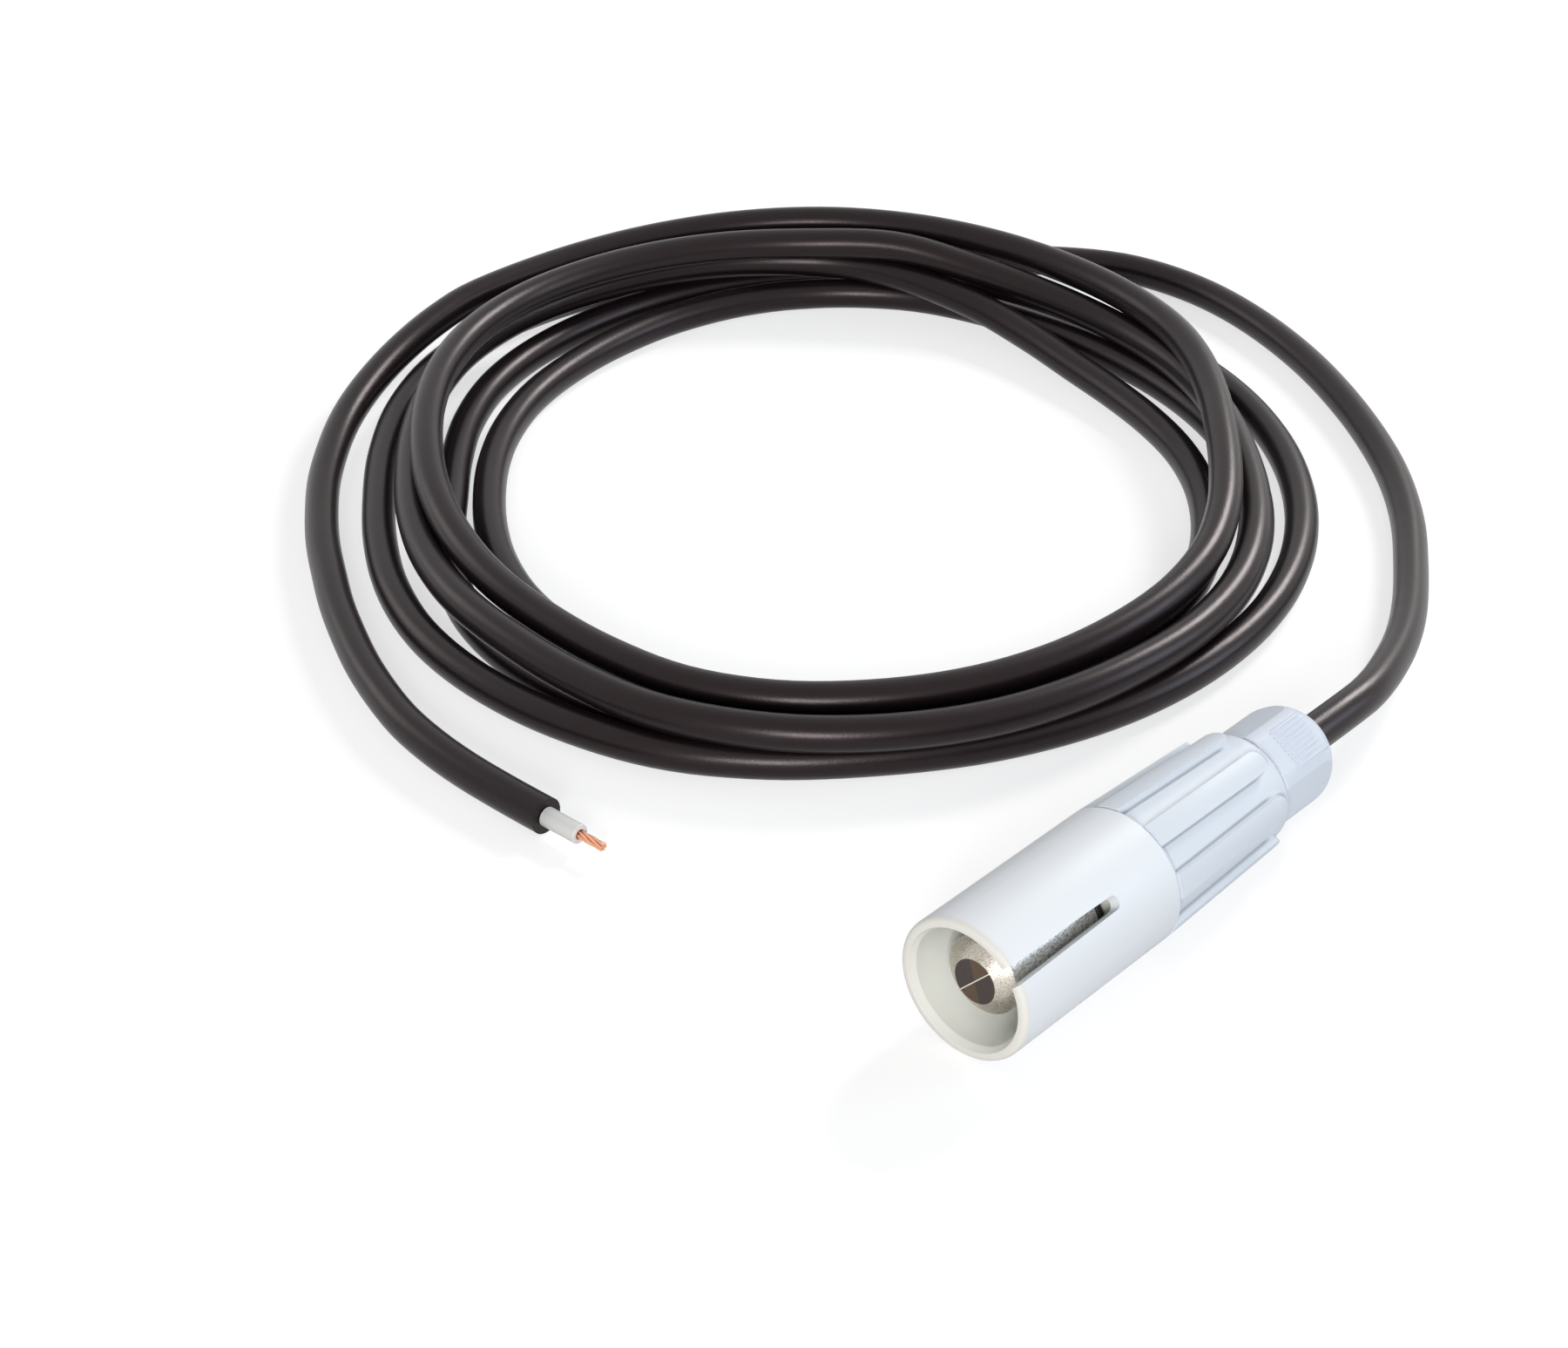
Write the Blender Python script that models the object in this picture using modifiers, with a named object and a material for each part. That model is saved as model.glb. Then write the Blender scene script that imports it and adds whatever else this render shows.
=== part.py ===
"""Level electrode on a cable: a steel rod in a slotted plastic skirt, a ribbed grip and a cable gland.

The probe lies along X with its sensing mouth towards -X, and rests on the plane z = 0.
Its own pieces are modelled along a local Z axis that starts at the mouth, so a height
in these functions is a distance from the mouth. All sizes are in metres.
"""

import math

import bmesh
import bpy
from mathutils import Matrix, Vector

# Fits
CLEARANCE = 0.0003
ROUND_STEPS = 64
SMALL_STEPS = 32
FILLET_STEPS = 3
ROUND_END_SHARE = 0.98
WELD_DISTANCE = 0.00001
SMOOTH_BELOW = math.radians(35)
CONE_SMOOTH_BELOW = math.radians(20)
BEVEL_ABOVE = math.radians(50)

# Protective skirt
BODY_RADIUS = 0.0110
SKIRT_LENGTH = 0.0354
SKIRT_WALL = 0.0019
MOUTH_OUTER_FILLET = 0.0008
MOUTH_INNER_CHAMFER = 0.0006
MOUTH_CHAMFER_DEPTH = 0.0012
SLOT_MOUTH_WIDTH = 0.0029
SLOT_END_WIDTH = 0.0021
SLOT_LENGTH = 0.0232
SLOT_ANGLE = math.radians(141.5)
WEB_THICKNESS = 0.0034
SOCKET_DEPTH = 0.0069

# Steel electrode and what holds it in the web
ELECTRODE_RADIUS = 0.0060
ELECTRODE_RECESS = 0.0027
TIP_FACE_RADIUS = 0.0034
TIP_CONE_LENGTH = 0.0019
STUD_RADIUS = 0.0030
TIP_SEAL_SECTION = 0.0014
STUD_WASHER_RADIUS = 0.0060
STUD_WASHER_THICKNESS = 0.0010
SPRING_WASHER_RADIUS = 0.0052
SPRING_WASHER_THICKNESS = 0.0011
SPRING_WASHER_CUT = 0.0008
LOCK_NUT_FLATS = 0.0100
LOCK_NUT_THICKNESS = 0.0040

# Brass sleeve that joins the stud to the conductor
SLEEVE_RADIUS = 0.0045
SLEEVE_STUD_DEPTH = 0.0060
SLEEVE_BRIDGE = 0.0012
SLEEVE_WIRE_DEPTH = 0.0062
CLAMP_SCREW_RADIUS = 0.00125
CLAMP_SCREW_SLOT_WIDTH = 0.0005
CLAMP_SCREW_SLOT_DEPTH = 0.0007
CLAMP_SCREW_RECESS = 0.0002

# Ribbed grip
GRIP_LENGTH = 0.0273
GRIP_REAR_RADIUS = 0.0101
RIB_COUNT = 8
RIB_ANGLE = math.radians(117.0)
RIB_WIDTH = 0.0042
RIB_HEIGHT = 0.0012
RIB_END_CORNER = 0.0018
RIB_EDGE = 0.0003
SHOULDER_LENGTH = 0.0030
SHOULDER_FILLET = 0.0012
SPIGOT_LENGTH = 0.0052
CHAMBER_RADIUS = 0.0067
CHAMBER_LENGTH = 0.0290
SPIGOT_GROOVE_WIDTH = 0.0018
SPIGOT_SEAL_SECTION = 0.00115
SPIGOT_GROOVE_SETBACK = 0.0012

# Cable gland
NECK_RADIUS = 0.0061
NECK_LENGTH = 0.0080
NECK_BORE_DEPTH = 0.0072
SEAL_WALL = 0.0013
CAGE_FLANGE = 0.0012
CAGE_FINGER_LENGTH = 0.0030
CAGE_FINGER_WALL = 0.0010
CAGE_SLOT_WIDTH = 0.0008
CAGE_SLOT_COUNT = 4
NUT_FLATS = 0.0150
NUT_CORNER_RADIUS = 0.0081
NUT_LENGTH = 0.0157
NUT_DOME_FILLET = 0.0056
NUT_BASE_FILLET = 0.0005
NUT_FACE_ANGLE = math.radians(123.0)
NUT_RIDGE_COUNT = 9
NUT_RIDGE_PITCH = 0.00080
NUT_RIDGE_WIDTH = 0.00042
NUT_RIDGE_HEIGHT = 0.00022
NUT_BASE_BAND = 0.0042

# Cable
CABLE_RADIUS = 0.0030
CORE_RADIUS = 0.0016
WIRE_RADIUS = 0.0008
WIRE_SHOWN = 0.0007
JACKET_IN_CHAMBER = 0.0015
END_CORE_LENGTH = 0.0070
END_WIRE_LENGTH = 0.0050
CABLE_POINT_SPACING = 0.014
COIL_CENTRE = Vector((0.0690, 0.1160))
COIL_TURN = math.radians(42.0)
COIL_INNER_RADIUS = 0.0615
COIL_OUTER_RADIUS = 0.0880
COIL_HEIGHT = 0.0166
COIL_FILLET = 0.0045
COIL_STRETCH = 1.15

# The free cable's route, each point as millimetres along x, y and z
LEAD_ROUTE = (
    (48, 0, 11), (54, 0.1, 10.9), (61, 0.8, 10.3), (70, 3.2, 9.1), (81.5, 7.4, 7.5), (93.5, 13.2, 6),
    (107.5, 21.5, 4.6), (122.5, 31.5, 3.7), (135.5, 42.5, 3.2), (146.5, 54.5, 3.1), (156.5, 67.8, 3.1),
    (165, 81.5, 3.1), (171.8, 96, 3.1), (176, 109.5, 3.1), (177.3, 121.5, 3.1), (175.8, 133, 3.1),
    (172, 143.5, 3.1), (166.6, 152.8, 3.1), (162.8, 158.4, 3.1),
)
TAIL_ROUTE = (
    (58.9, 210.8, 9.6), (45.5, 208.8, 7.6), (34.8, 205.3, 6.2), (25, 200.7, 5), (16, 194.8, 4.1),
    (5.5, 186, 3.4), (-3, 177, 3.1), (-10, 168.5, 3.1), (-16.3, 159.6, 3.1), (-22.2, 150.8, 3.1),
    (-27.3, 142, 3.1), (-32, 133, 3.1), (-36, 123.6, 3.1), (-38.9, 115, 3.1), (-40.7, 106.1, 3.1),
    (-41.6, 98, 3.1), (-41.9, 91, 3.1), (-42, 85, 3.1), (-42, 80, 3.1),
)

# Stations along the probe, from the mouth
GRIP_START = SKIRT_LENGTH + CLEARANCE
GRIP_END = GRIP_START + GRIP_LENGTH
NECK_START = GRIP_END + SHOULDER_LENGTH
NECK_END = NECK_START + NECK_LENGTH
NUT_START = NECK_START + CLEARANCE
PROBE_LENGTH = NUT_START + NUT_LENGTH
WEB_BACK = SKIRT_LENGTH - SOCKET_DEPTH
WEB_FRONT = WEB_BACK - WEB_THICKNESS
SKIRT_BORE = BODY_RADIUS - SKIRT_WALL
STUD_HOLE = STUD_RADIUS + CLEARANCE
CABLE_HOLE = CABLE_RADIUS + CLEARANCE
ELECTRODE_BACK = WEB_FRONT - TIP_SEAL_SECTION - 2 * CLEARANCE
STUD_WASHER_START = WEB_BACK + CLEARANCE
SPRING_WASHER_START = STUD_WASHER_START + STUD_WASHER_THICKNESS + CLEARANCE
LOCK_NUT_START = SPRING_WASHER_START + SPRING_WASHER_THICKNESS + CLEARANCE
SLEEVE_START = LOCK_NUT_START + LOCK_NUT_THICKNESS + CLEARANCE
STUD_END = SLEEVE_START + SLEEVE_STUD_DEPTH - CLEARANCE
WIRE_START = SLEEVE_START + SLEEVE_STUD_DEPTH + SLEEVE_BRIDGE + CLEARANCE
SLEEVE_END = WIRE_START + SLEEVE_WIRE_DEPTH
CHAMBER_START = GRIP_START - SPIGOT_LENGTH
CHAMBER_END = CHAMBER_START + CHAMBER_LENGTH
JACKET_START = CHAMBER_END - JACKET_IN_CHAMBER
CORE_START = SLEEVE_END + WIRE_SHOWN
NECK_BORE_START = NECK_END - NECK_BORE_DEPTH
SEAL_OUTER = CABLE_HOLE + SEAL_WALL
CAGE_START = NECK_END + CLEARANCE
CAGE_END = CAGE_START + CAGE_FLANGE + CAGE_FINGER_LENGTH


def material(name, colour, roughness, metallic=0.0):
    """A plain Principled material in the part's own colour."""
    made = bpy.data.materials.new(name)
    made.use_nodes = True
    made.diffuse_color = (*colour, 1.0)
    shader = made.node_tree.nodes["Principled BSDF"]
    shader.inputs["Base Color"].default_value = (*colour, 1.0)
    shader.inputs["Roughness"].default_value = roughness
    shader.inputs["Metallic"].default_value = metallic
    return made


def add_object(name, mesh, finish, axis=None):
    """Puts a mesh in the sensor's collection, as a child of the probe's axis where one is given."""
    obj = bpy.data.objects.new(name, mesh)
    mesh.materials.append(finish)
    sensor.objects.link(obj)
    obj.parent = axis
    return obj


def add_cutter(name, mesh, axis=None):
    """Keeps a tool body out of the render and the build."""
    obj = bpy.data.objects.new(name, mesh)
    cutters.objects.link(obj)
    obj.parent = axis
    obj.hide_render = True
    obj.display_type = "WIRE"
    return obj


def boolean(obj, tool, operation):
    """Adds a Boolean modifier that joins, cuts or keeps what the tool body holds."""
    modifier = obj.modifiers.new(tool.name, "BOOLEAN")
    modifier.operation = operation
    modifier.object = tool
    modifier.solver = "EXACT"
    return modifier


def corner_arc(before, corner, after, radius):
    """Points of a fillet of this radius, in place of one corner of an outline."""
    back = (before - corner).normalized()
    ahead = (after - corner).normalized()
    half = back.angle(ahead) / 2
    start = corner + back * (radius / math.tan(half))
    end = corner + ahead * (radius / math.tan(half))
    centre = corner + (back + ahead).normalized() * (radius / math.sin(half))
    swing = (start - centre).angle_signed(end - centre)
    points = []
    for step in range(FILLET_STEPS + 1):
        turn = Matrix.Rotation(-swing * step / FILLET_STEPS, 2)
        points.append(centre + turn @ (start - centre))
    return points


def filleted(corners, closed=True):
    """An outline from corners of (across, along, fillet radius), with each fillet as an arc."""
    points = []
    for index, (across, along, radius) in enumerate(corners):
        corner = Vector((across, along))
        at_end = not closed and index in (0, len(corners) - 1)
        if radius == 0 or at_end:
            points.append(corner)
            continue
        before = Vector(corners[index - 1][:2])
        after = Vector(corners[(index + 1) % len(corners)][:2])
        points.extend(corner_arc(before, corner, after, radius))
    return points


def turned(name, corners, closed=True, steps=ROUND_STEPS):
    """A mesh turned about Z from corners that run down the outer side and up the inner one."""
    outline = filleted(corners, closed)
    profile = bmesh.new()
    verts = [profile.verts.new((point.x, 0, point.y)) for point in outline]
    for first, second in zip(verts, verts[1:]):
        profile.edges.new((first, second))
    if closed:
        profile.edges.new((verts[-1], verts[0]))
    mesh = bpy.data.meshes.new(name)
    profile.to_mesh(mesh)
    profile.free()
    holder = bpy.data.objects.new(name + "_profile", mesh)
    cutters.objects.link(holder)
    screw = holder.modifiers.new("turn", "SCREW")
    screw.steps = steps
    screw.render_steps = steps
    screw.use_merge_vertices = True
    screw.merge_threshold = WELD_DISTANCE
    return finished(holder, name)


def finished(holder, name):
    """The evaluated mesh of a working object, which is then removed."""
    graph = bpy.context.evaluated_depsgraph_get()
    mesh = bpy.data.meshes.new_from_object(holder.evaluated_get(graph))
    mesh.name = name
    bpy.data.objects.remove(holder)
    return mesh


def plate(name, outline, thickness):
    """A flat outline, filled and given a thickness, as a welded mesh centred on its own plane."""
    curve = bpy.data.curves.new(name, "CURVE")
    curve.dimensions = "2D"
    curve.fill_mode = "BOTH"
    curve.extrude = thickness / 2
    spline = curve.splines.new("POLY")
    spline.points.add(len(outline) - 1)
    for target, point in zip(spline.points, outline):
        target.co = (point.x, point.y, 0, 1)
    spline.use_cyclic_u = True
    holder = bpy.data.objects.new(name + "_outline", curve)
    cutters.objects.link(holder)
    mesh = finished(holder, name)
    return welded(mesh)


def welded(mesh):
    """Joins the loose caps of a mesh that was made from a curve."""
    shape = bmesh.new()
    shape.from_mesh(mesh)
    bmesh.ops.remove_doubles(shape, verts=shape.verts, dist=WELD_DISTANCE)
    bmesh.ops.recalc_face_normals(shape, faces=shape.faces)
    shape.to_mesh(mesh)
    shape.free()
    return mesh


def copies(name, mesh, places):
    """One mesh that holds a copy of another at each place."""
    group = bmesh.new()
    for place in places:
        moved = mesh.copy()
        moved.transform(place)
        group.from_mesh(moved)
        bpy.data.meshes.remove(moved)
    made = bpy.data.meshes.new(name)
    group.to_mesh(made)
    group.free()
    return made


def block(name, low, high):
    """A box between two corners."""
    size = Vector(high) - Vector(low)
    middle = (Vector(high) + Vector(low)) / 2
    shape = bmesh.new()
    bmesh.ops.create_cube(shape, size=1, matrix=Matrix.Translation(middle) @ Matrix.Diagonal((*size, 1)))
    mesh = bpy.data.meshes.new(name)
    shape.to_mesh(mesh)
    shape.free()
    return mesh


def hexagon(name, flats, bottom, top, turn):
    """A hexagon bar by its distance across flats, with one flat facing the given angle."""
    corner_radius = flats / 2 / math.cos(math.pi / 6)
    place = Matrix.Translation((0, 0, (bottom + top) / 2)) @ Matrix.Rotation(turn, 4, "Z")
    shape = bmesh.new()
    bmesh.ops.create_cone(shape, cap_ends=True, segments=6, radius1=corner_radius,
                          radius2=corner_radius, depth=top - bottom, matrix=place)
    mesh = bpy.data.meshes.new(name)
    shape.to_mesh(mesh)
    shape.free()
    return mesh


def tube_between(inner, outer, bottom, top):
    """Corners of a plain ring."""
    return ((outer, top, 0), (outer, bottom, 0), (inner, bottom, 0), (inner, top, 0))


def rod_between(radius, bottom, top):
    """Open outline of a plain rod, from its top centre to its bottom centre."""
    return ((0, top, 0), (radius, top, 0), (radius, bottom, 0), (0, bottom, 0))


def around(angle):
    """The local turn about the probe's axis that faces a world angle, counted from +Y towards +Z."""
    return angle + math.pi / 2


def shade_round(obj, limit=SMOOTH_BELOW):
    """Smooth shading with the real edges kept sharp."""
    obj.data.shade_smooth()
    obj.data.set_sharp_from_angle(angle=limit)


def build_skirt():
    """Slotted skirt: a moulded tube with a web across it that carries the electrode."""
    lip = SKIRT_BORE + MOUTH_INNER_CHAMFER
    corners = (
        (BODY_RADIUS, SKIRT_LENGTH, MOUTH_OUTER_FILLET / 2),
        (BODY_RADIUS, 0, MOUTH_OUTER_FILLET),
        (lip, 0, 0),
        (SKIRT_BORE, MOUTH_CHAMFER_DEPTH, 0),
        (SKIRT_BORE, WEB_FRONT, 0),
        (STUD_HOLE, WEB_FRONT, 0),
        (STUD_HOLE, WEB_BACK, 0),
        (SKIRT_BORE, WEB_BACK, 0),
        (SKIRT_BORE, SKIRT_LENGTH, 0),
    )
    skirt = add_object("protective_skirt", turned("protective_skirt", corners), white_plastic, axis)
    mouth_half = SLOT_MOUTH_WIDTH / 2
    end_half = SLOT_END_WIDTH / 2
    end_fillet = end_half * ROUND_END_SHARE
    outline = filleted(((-mouth_half, -CLEARANCE, 0), (mouth_half, -CLEARANCE, 0),
                        (end_half, SLOT_LENGTH, end_fillet), (-end_half, SLOT_LENGTH, end_fillet)))
    depth = SKIRT_WALL + SLOT_MOUTH_WIDTH
    stand = Matrix.Translation((BODY_RADIUS - SKIRT_WALL / 2, 0, 0)) @ Matrix.Rotation(math.pi / 2, 4, "Z")
    stand = stand @ Matrix.Rotation(math.pi / 2, 4, "X")
    cutter = plate("slot_cutter", outline, depth)
    cutter.transform(Matrix.Rotation(around(SLOT_ANGLE), 4, "Z") @ stand)
    boolean(skirt, add_cutter("slot_cutter", cutter, axis), "DIFFERENCE")
    shade_round(skirt)


def build_electrode():
    """Turned steel electrode with a coned tip and a stud behind its head."""
    corners = (
        (0, STUD_END, 0),
        (STUD_RADIUS, STUD_END, 0),
        (STUD_RADIUS, ELECTRODE_BACK, 0),
        (ELECTRODE_RADIUS, ELECTRODE_BACK, 0),
        (ELECTRODE_RADIUS, ELECTRODE_RECESS + TIP_CONE_LENGTH, 0),
        (TIP_FACE_RADIUS, ELECTRODE_RECESS, 0),
        (0, ELECTRODE_RECESS, 0),
    )
    rod = add_object("electrode_rod", turned("electrode_rod", corners, closed=False), steel, axis)
    shade_round(rod, CONE_SMOOTH_BELOW)


def build_seal_ring(name, middle_radius, section, height):
    """A rubber O-ring of a given section, with its centre on the probe's axis."""
    bpy.ops.mesh.primitive_torus_add(major_segments=SMALL_STEPS, minor_segments=8,
                                     major_radius=middle_radius, minor_radius=section / 2)
    ring = bpy.context.active_object
    ring.name = name
    for home in list(ring.users_collection):
        home.objects.unlink(ring)
    sensor.objects.link(ring)
    ring.parent = axis
    ring.location = (0, 0, height)
    ring.data.materials.append(black_rubber)
    ring.data.shade_smooth()


def build_seals():
    """The ring behind the electrode's head, and the one on the grip's spigot."""
    tip_ring = ELECTRODE_RADIUS - TIP_SEAL_SECTION / 2 - CLEARANCE / 2
    build_seal_ring("electrode_o_ring", tip_ring, TIP_SEAL_SECTION,
                    WEB_FRONT - CLEARANCE - TIP_SEAL_SECTION / 2)
    spigot_ring = SKIRT_BORE - CLEARANCE - SPIGOT_SEAL_SECTION / 2
    build_seal_ring("body_o_ring", spigot_ring, SPIGOT_SEAL_SECTION,
                    GRIP_START - SPIGOT_GROOVE_SETBACK - SPIGOT_GROOVE_WIDTH / 2)


def build_washers():
    """Flat washer against the web, and the split spring washer on it."""
    flat = turned("stud_washer", tube_between(STUD_HOLE, STUD_WASHER_RADIUS, STUD_WASHER_START,
                                              STUD_WASHER_START + STUD_WASHER_THICKNESS), steps=SMALL_STEPS)
    shade_round(add_object("stud_washer", flat, steel, axis))
    spring = turned("spring_washer", tube_between(STUD_HOLE, SPRING_WASHER_RADIUS, SPRING_WASHER_START,
                                                  SPRING_WASHER_START + SPRING_WASHER_THICKNESS),
                    steps=SMALL_STEPS)
    washer = add_object("spring_washer", spring, steel, axis)
    cut = block("spring_washer_cut", (0, -SPRING_WASHER_CUT / 2, SPRING_WASHER_START - CLEARANCE),
                (SPRING_WASHER_RADIUS + CLEARANCE, SPRING_WASHER_CUT / 2,
                 SPRING_WASHER_START + SPRING_WASHER_THICKNESS + CLEARANCE))
    boolean(washer, add_cutter("spring_washer_cut", cut, axis), "DIFFERENCE")
    shade_round(washer)


def build_lock_nut():
    """Hexagon nut that pulls the electrode's head on to its ring, with chamfered corners."""
    corner = LOCK_NUT_FLATS / 2 / math.cos(math.pi / 6)
    ease = corner - LOCK_NUT_FLATS / 2
    top = LOCK_NUT_START + LOCK_NUT_THICKNESS
    blank = turned("stud_lock_nut", ((corner, top - ease / 2, 0), (corner, LOCK_NUT_START + ease / 2, 0),
                                     (corner - ease, LOCK_NUT_START, 0), (STUD_HOLE, LOCK_NUT_START, 0),
                                     (STUD_HOLE, top, 0), (corner - ease, top, 0)), steps=SMALL_STEPS)
    nut = add_object("stud_lock_nut", blank, steel, axis)
    bar = hexagon("lock_nut_hexagon", LOCK_NUT_FLATS, LOCK_NUT_START - ease, top + ease, 0)
    boolean(nut, add_cutter("lock_nut_hexagon", bar, axis), "INTERSECT")
    shade_round(nut)


def build_terminal():
    """Brass sleeve on the stud's end, and the slotted screw that clamps the conductor in it."""
    stud_floor = SLEEVE_START + SLEEVE_STUD_DEPTH
    wire_floor = stud_floor + SLEEVE_BRIDGE
    wire_hole = WIRE_RADIUS + CLEARANCE
    outer = ((0, wire_floor, 0), (wire_hole, wire_floor, 0), (wire_hole, SLEEVE_END, 0),
             (SLEEVE_RADIUS, SLEEVE_END, 0), (SLEEVE_RADIUS, SLEEVE_START, 0),
             (STUD_HOLE, SLEEVE_START, 0), (STUD_HOLE, stud_floor, 0), (0, stud_floor, 0))
    sleeve = add_object("terminal_sleeve",
                        turned("terminal_sleeve", outer, closed=False, steps=SMALL_STEPS), brass, axis)
    middle = (wire_floor + SLEEVE_END) / 2
    place = Matrix.Translation((0, 0, middle)) @ Matrix.Rotation(math.pi / 2, 4, "Y")
    hole = turned("clamp_hole", rod_between(CLAMP_SCREW_RADIUS + CLEARANCE, 0, SLEEVE_RADIUS + CLEARANCE),
                  closed=False, steps=SMALL_STEPS)
    hole.transform(place)
    boolean(sleeve, add_cutter("clamp_hole", hole, axis), "DIFFERENCE")
    shade_round(sleeve)
    top = SLEEVE_RADIUS - CLAMP_SCREW_RECESS
    body = turned("clamp_screw", rod_between(CLAMP_SCREW_RADIUS, WIRE_RADIUS + CLEARANCE, top),
                  closed=False, steps=SMALL_STEPS)
    body.transform(place)
    screw = add_object("clamp_screw", body, brass, axis)
    half = CLAMP_SCREW_SLOT_WIDTH / 2
    slot = block("screw_slot", (top - CLAMP_SCREW_SLOT_DEPTH, -half, middle - 2 * CLAMP_SCREW_RADIUS),
                 (top + CLEARANCE, half, middle + 2 * CLAMP_SCREW_RADIUS))
    boolean(screw, add_cutter("screw_slot", slot, axis), "DIFFERENCE")
    shade_round(screw)


def grip_core_radius(height):
    """Radius of the grip between its ribs, which follows the grip's own taper."""
    share = (height - GRIP_START) / GRIP_LENGTH
    return BODY_RADIUS - RIB_HEIGHT + (GRIP_REAR_RADIUS - BODY_RADIUS) * share


def grip_core_corners():
    """Half section of the grip without ribs: spigot, tapered body, shoulder, neck and bores."""
    spigot = SKIRT_BORE - CLEARANCE
    groove_floor = SKIRT_BORE - 2 * CLEARANCE - SPIGOT_SEAL_SECTION
    groove_top = GRIP_START - SPIGOT_GROOVE_SETBACK
    groove_bottom = groove_top - SPIGOT_GROOVE_WIDTH
    return (
        (NECK_RADIUS, NECK_END, 0),
        (NECK_RADIUS, NECK_START, 0),
        (grip_core_radius(GRIP_END), NECK_START, SHOULDER_FILLET),
        (grip_core_radius(GRIP_END), GRIP_END, 0),
        (grip_core_radius(GRIP_START), GRIP_START, 0),
        (spigot, GRIP_START, 0),
        (spigot, groove_top, 0),
        (groove_floor, groove_top, 0),
        (groove_floor, groove_bottom, 0),
        (spigot, groove_bottom, 0),
        (spigot, CHAMBER_START, 0),
        (CHAMBER_RADIUS, CHAMBER_START, 0),
        (CHAMBER_RADIUS, CHAMBER_END, 0),
        (CABLE_HOLE, CHAMBER_END, 0),
        (CABLE_HOLE, NECK_BORE_START, 0),
        (SEAL_OUTER + CLEARANCE, NECK_BORE_START, 0),
        (SEAL_OUTER + CLEARANCE, NECK_END, 0),
    )


def build_grip():
    """Ribbed grip that screws into the skirt: a tapered body with eight raised ribs round it."""
    grip = add_object("ribbed_grip", turned("ribbed_grip", grip_core_corners()), white_plastic, axis)
    half = RIB_WIDTH / 2
    outline = filleted(((-half, GRIP_START, 0), (half, GRIP_START, 0),
                        (half, GRIP_END, RIB_END_CORNER), (-half, GRIP_END, RIB_END_CORNER)))
    root = grip_core_radius(GRIP_END) - CLEARANCE
    height = BODY_RADIUS + CLEARANCE - root
    slab = plate("rib_slab", outline, height)
    stand = Matrix.Translation((root + height / 2, 0, 0)) @ Matrix.Rotation(math.pi / 2, 4, "Z")
    stand = stand @ Matrix.Rotation(math.pi / 2, 4, "X")
    turns = [around(RIB_ANGLE) + index * math.tau / RIB_COUNT for index in range(RIB_COUNT)]
    ribs = add_cutter("grip_ribs", copies("grip_ribs", slab, [Matrix.Rotation(turn, 4, "Z") @ stand
                                                               for turn in turns]), axis)
    envelope = turned("grip_envelope", ((0, GRIP_END, 0), (GRIP_REAR_RADIUS, GRIP_END, RIB_EDGE),
                                        (BODY_RADIUS, GRIP_START, 0), (0, GRIP_START, 0)), closed=False)
    boolean(ribs, add_cutter("grip_envelope", envelope, axis), "INTERSECT")
    ease = ribs.modifiers.new("eased edges", "BEVEL")
    ease.width = RIB_EDGE
    ease.segments = 1
    ease.limit_method = "ANGLE"
    ease.angle_limit = BEVEL_ABOVE
    boolean(grip, ribs, "UNION")
    shade_round(grip)


def build_gland_seal():
    """Rubber bush that the nut squeezes on to the cable."""
    corners = tube_between(CABLE_HOLE, SEAL_OUTER, NECK_BORE_START + CLEARANCE, NECK_END - CLEARANCE)
    shade_round(add_object("gland_seal", turned("gland_seal", corners, steps=SMALL_STEPS), black_rubber,
                           axis))


def build_gland_cage():
    """Clamping cage between the bush and the nut, a flange with sprung fingers cut in it."""
    finger_foot = CAGE_START + CAGE_FLANGE
    foot_radius = CABLE_HOLE + CAGE_FINGER_WALL + CLEARANCE
    corners = (
        (CABLE_HOLE + CAGE_FINGER_WALL, CAGE_END, 0),
        (foot_radius, finger_foot, 0),
        (NECK_RADIUS - CLEARANCE, finger_foot, 0),
        (NECK_RADIUS - CLEARANCE, CAGE_START, 0),
        (CABLE_HOLE, CAGE_START, 0),
        (CABLE_HOLE, CAGE_END, 0),
    )
    cage = add_object("gland_cage", turned("gland_cage", corners, steps=SMALL_STEPS), grey_plastic, axis)
    half = CAGE_SLOT_WIDTH / 2
    reach = foot_radius + CLEARANCE
    slit = block("cage_slit", (-reach, -half, finger_foot + CLEARANCE), (reach, half, CAGE_END + CLEARANCE))
    for index in range(CAGE_SLOT_COUNT):
        turned_slit = slit.copy()
        turned_slit.transform(Matrix.Rotation(index * math.pi / CAGE_SLOT_COUNT, 4, "Z"))
        boolean(cage, add_cutter(f"cage_slit_{index + 1}", turned_slit, axis), "DIFFERENCE")
    shade_round(cage)


def nut_outer_corners(grow):
    """Outer half section of the gland nut, grown by a height for the ridges that follow it."""
    radius = NUT_CORNER_RADIUS + grow
    return (
        (0, PROBE_LENGTH + grow, 0),
        (radius, PROBE_LENGTH + grow, NUT_DOME_FILLET + grow),
        (radius, NUT_START, NUT_BASE_FILLET),
        (0, NUT_START, 0),
    )


def nut_bore_corners():
    """Half section of the gland nut's bore: thread, cone over the cage and cable exit."""
    thread = NECK_RADIUS + CLEARANCE
    cone_start = CAGE_START + CAGE_FLANGE + CLEARANCE
    cone_end = CAGE_END + CLEARANCE
    exit_radius = CABLE_HOLE + CLEARANCE / 3
    return (
        (0, PROBE_LENGTH + NUT_LENGTH, 0),
        (exit_radius, PROBE_LENGTH + NUT_LENGTH, 0),
        (exit_radius, cone_end + CLEARANCE, 0),
        (CABLE_HOLE + CAGE_FINGER_WALL + 2 * CLEARANCE, cone_end, 0),
        (thread, cone_start, 0),
        (thread, NUT_START - NUT_LENGTH, 0),
        (0, NUT_START - NUT_LENGTH, 0),
    )


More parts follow.
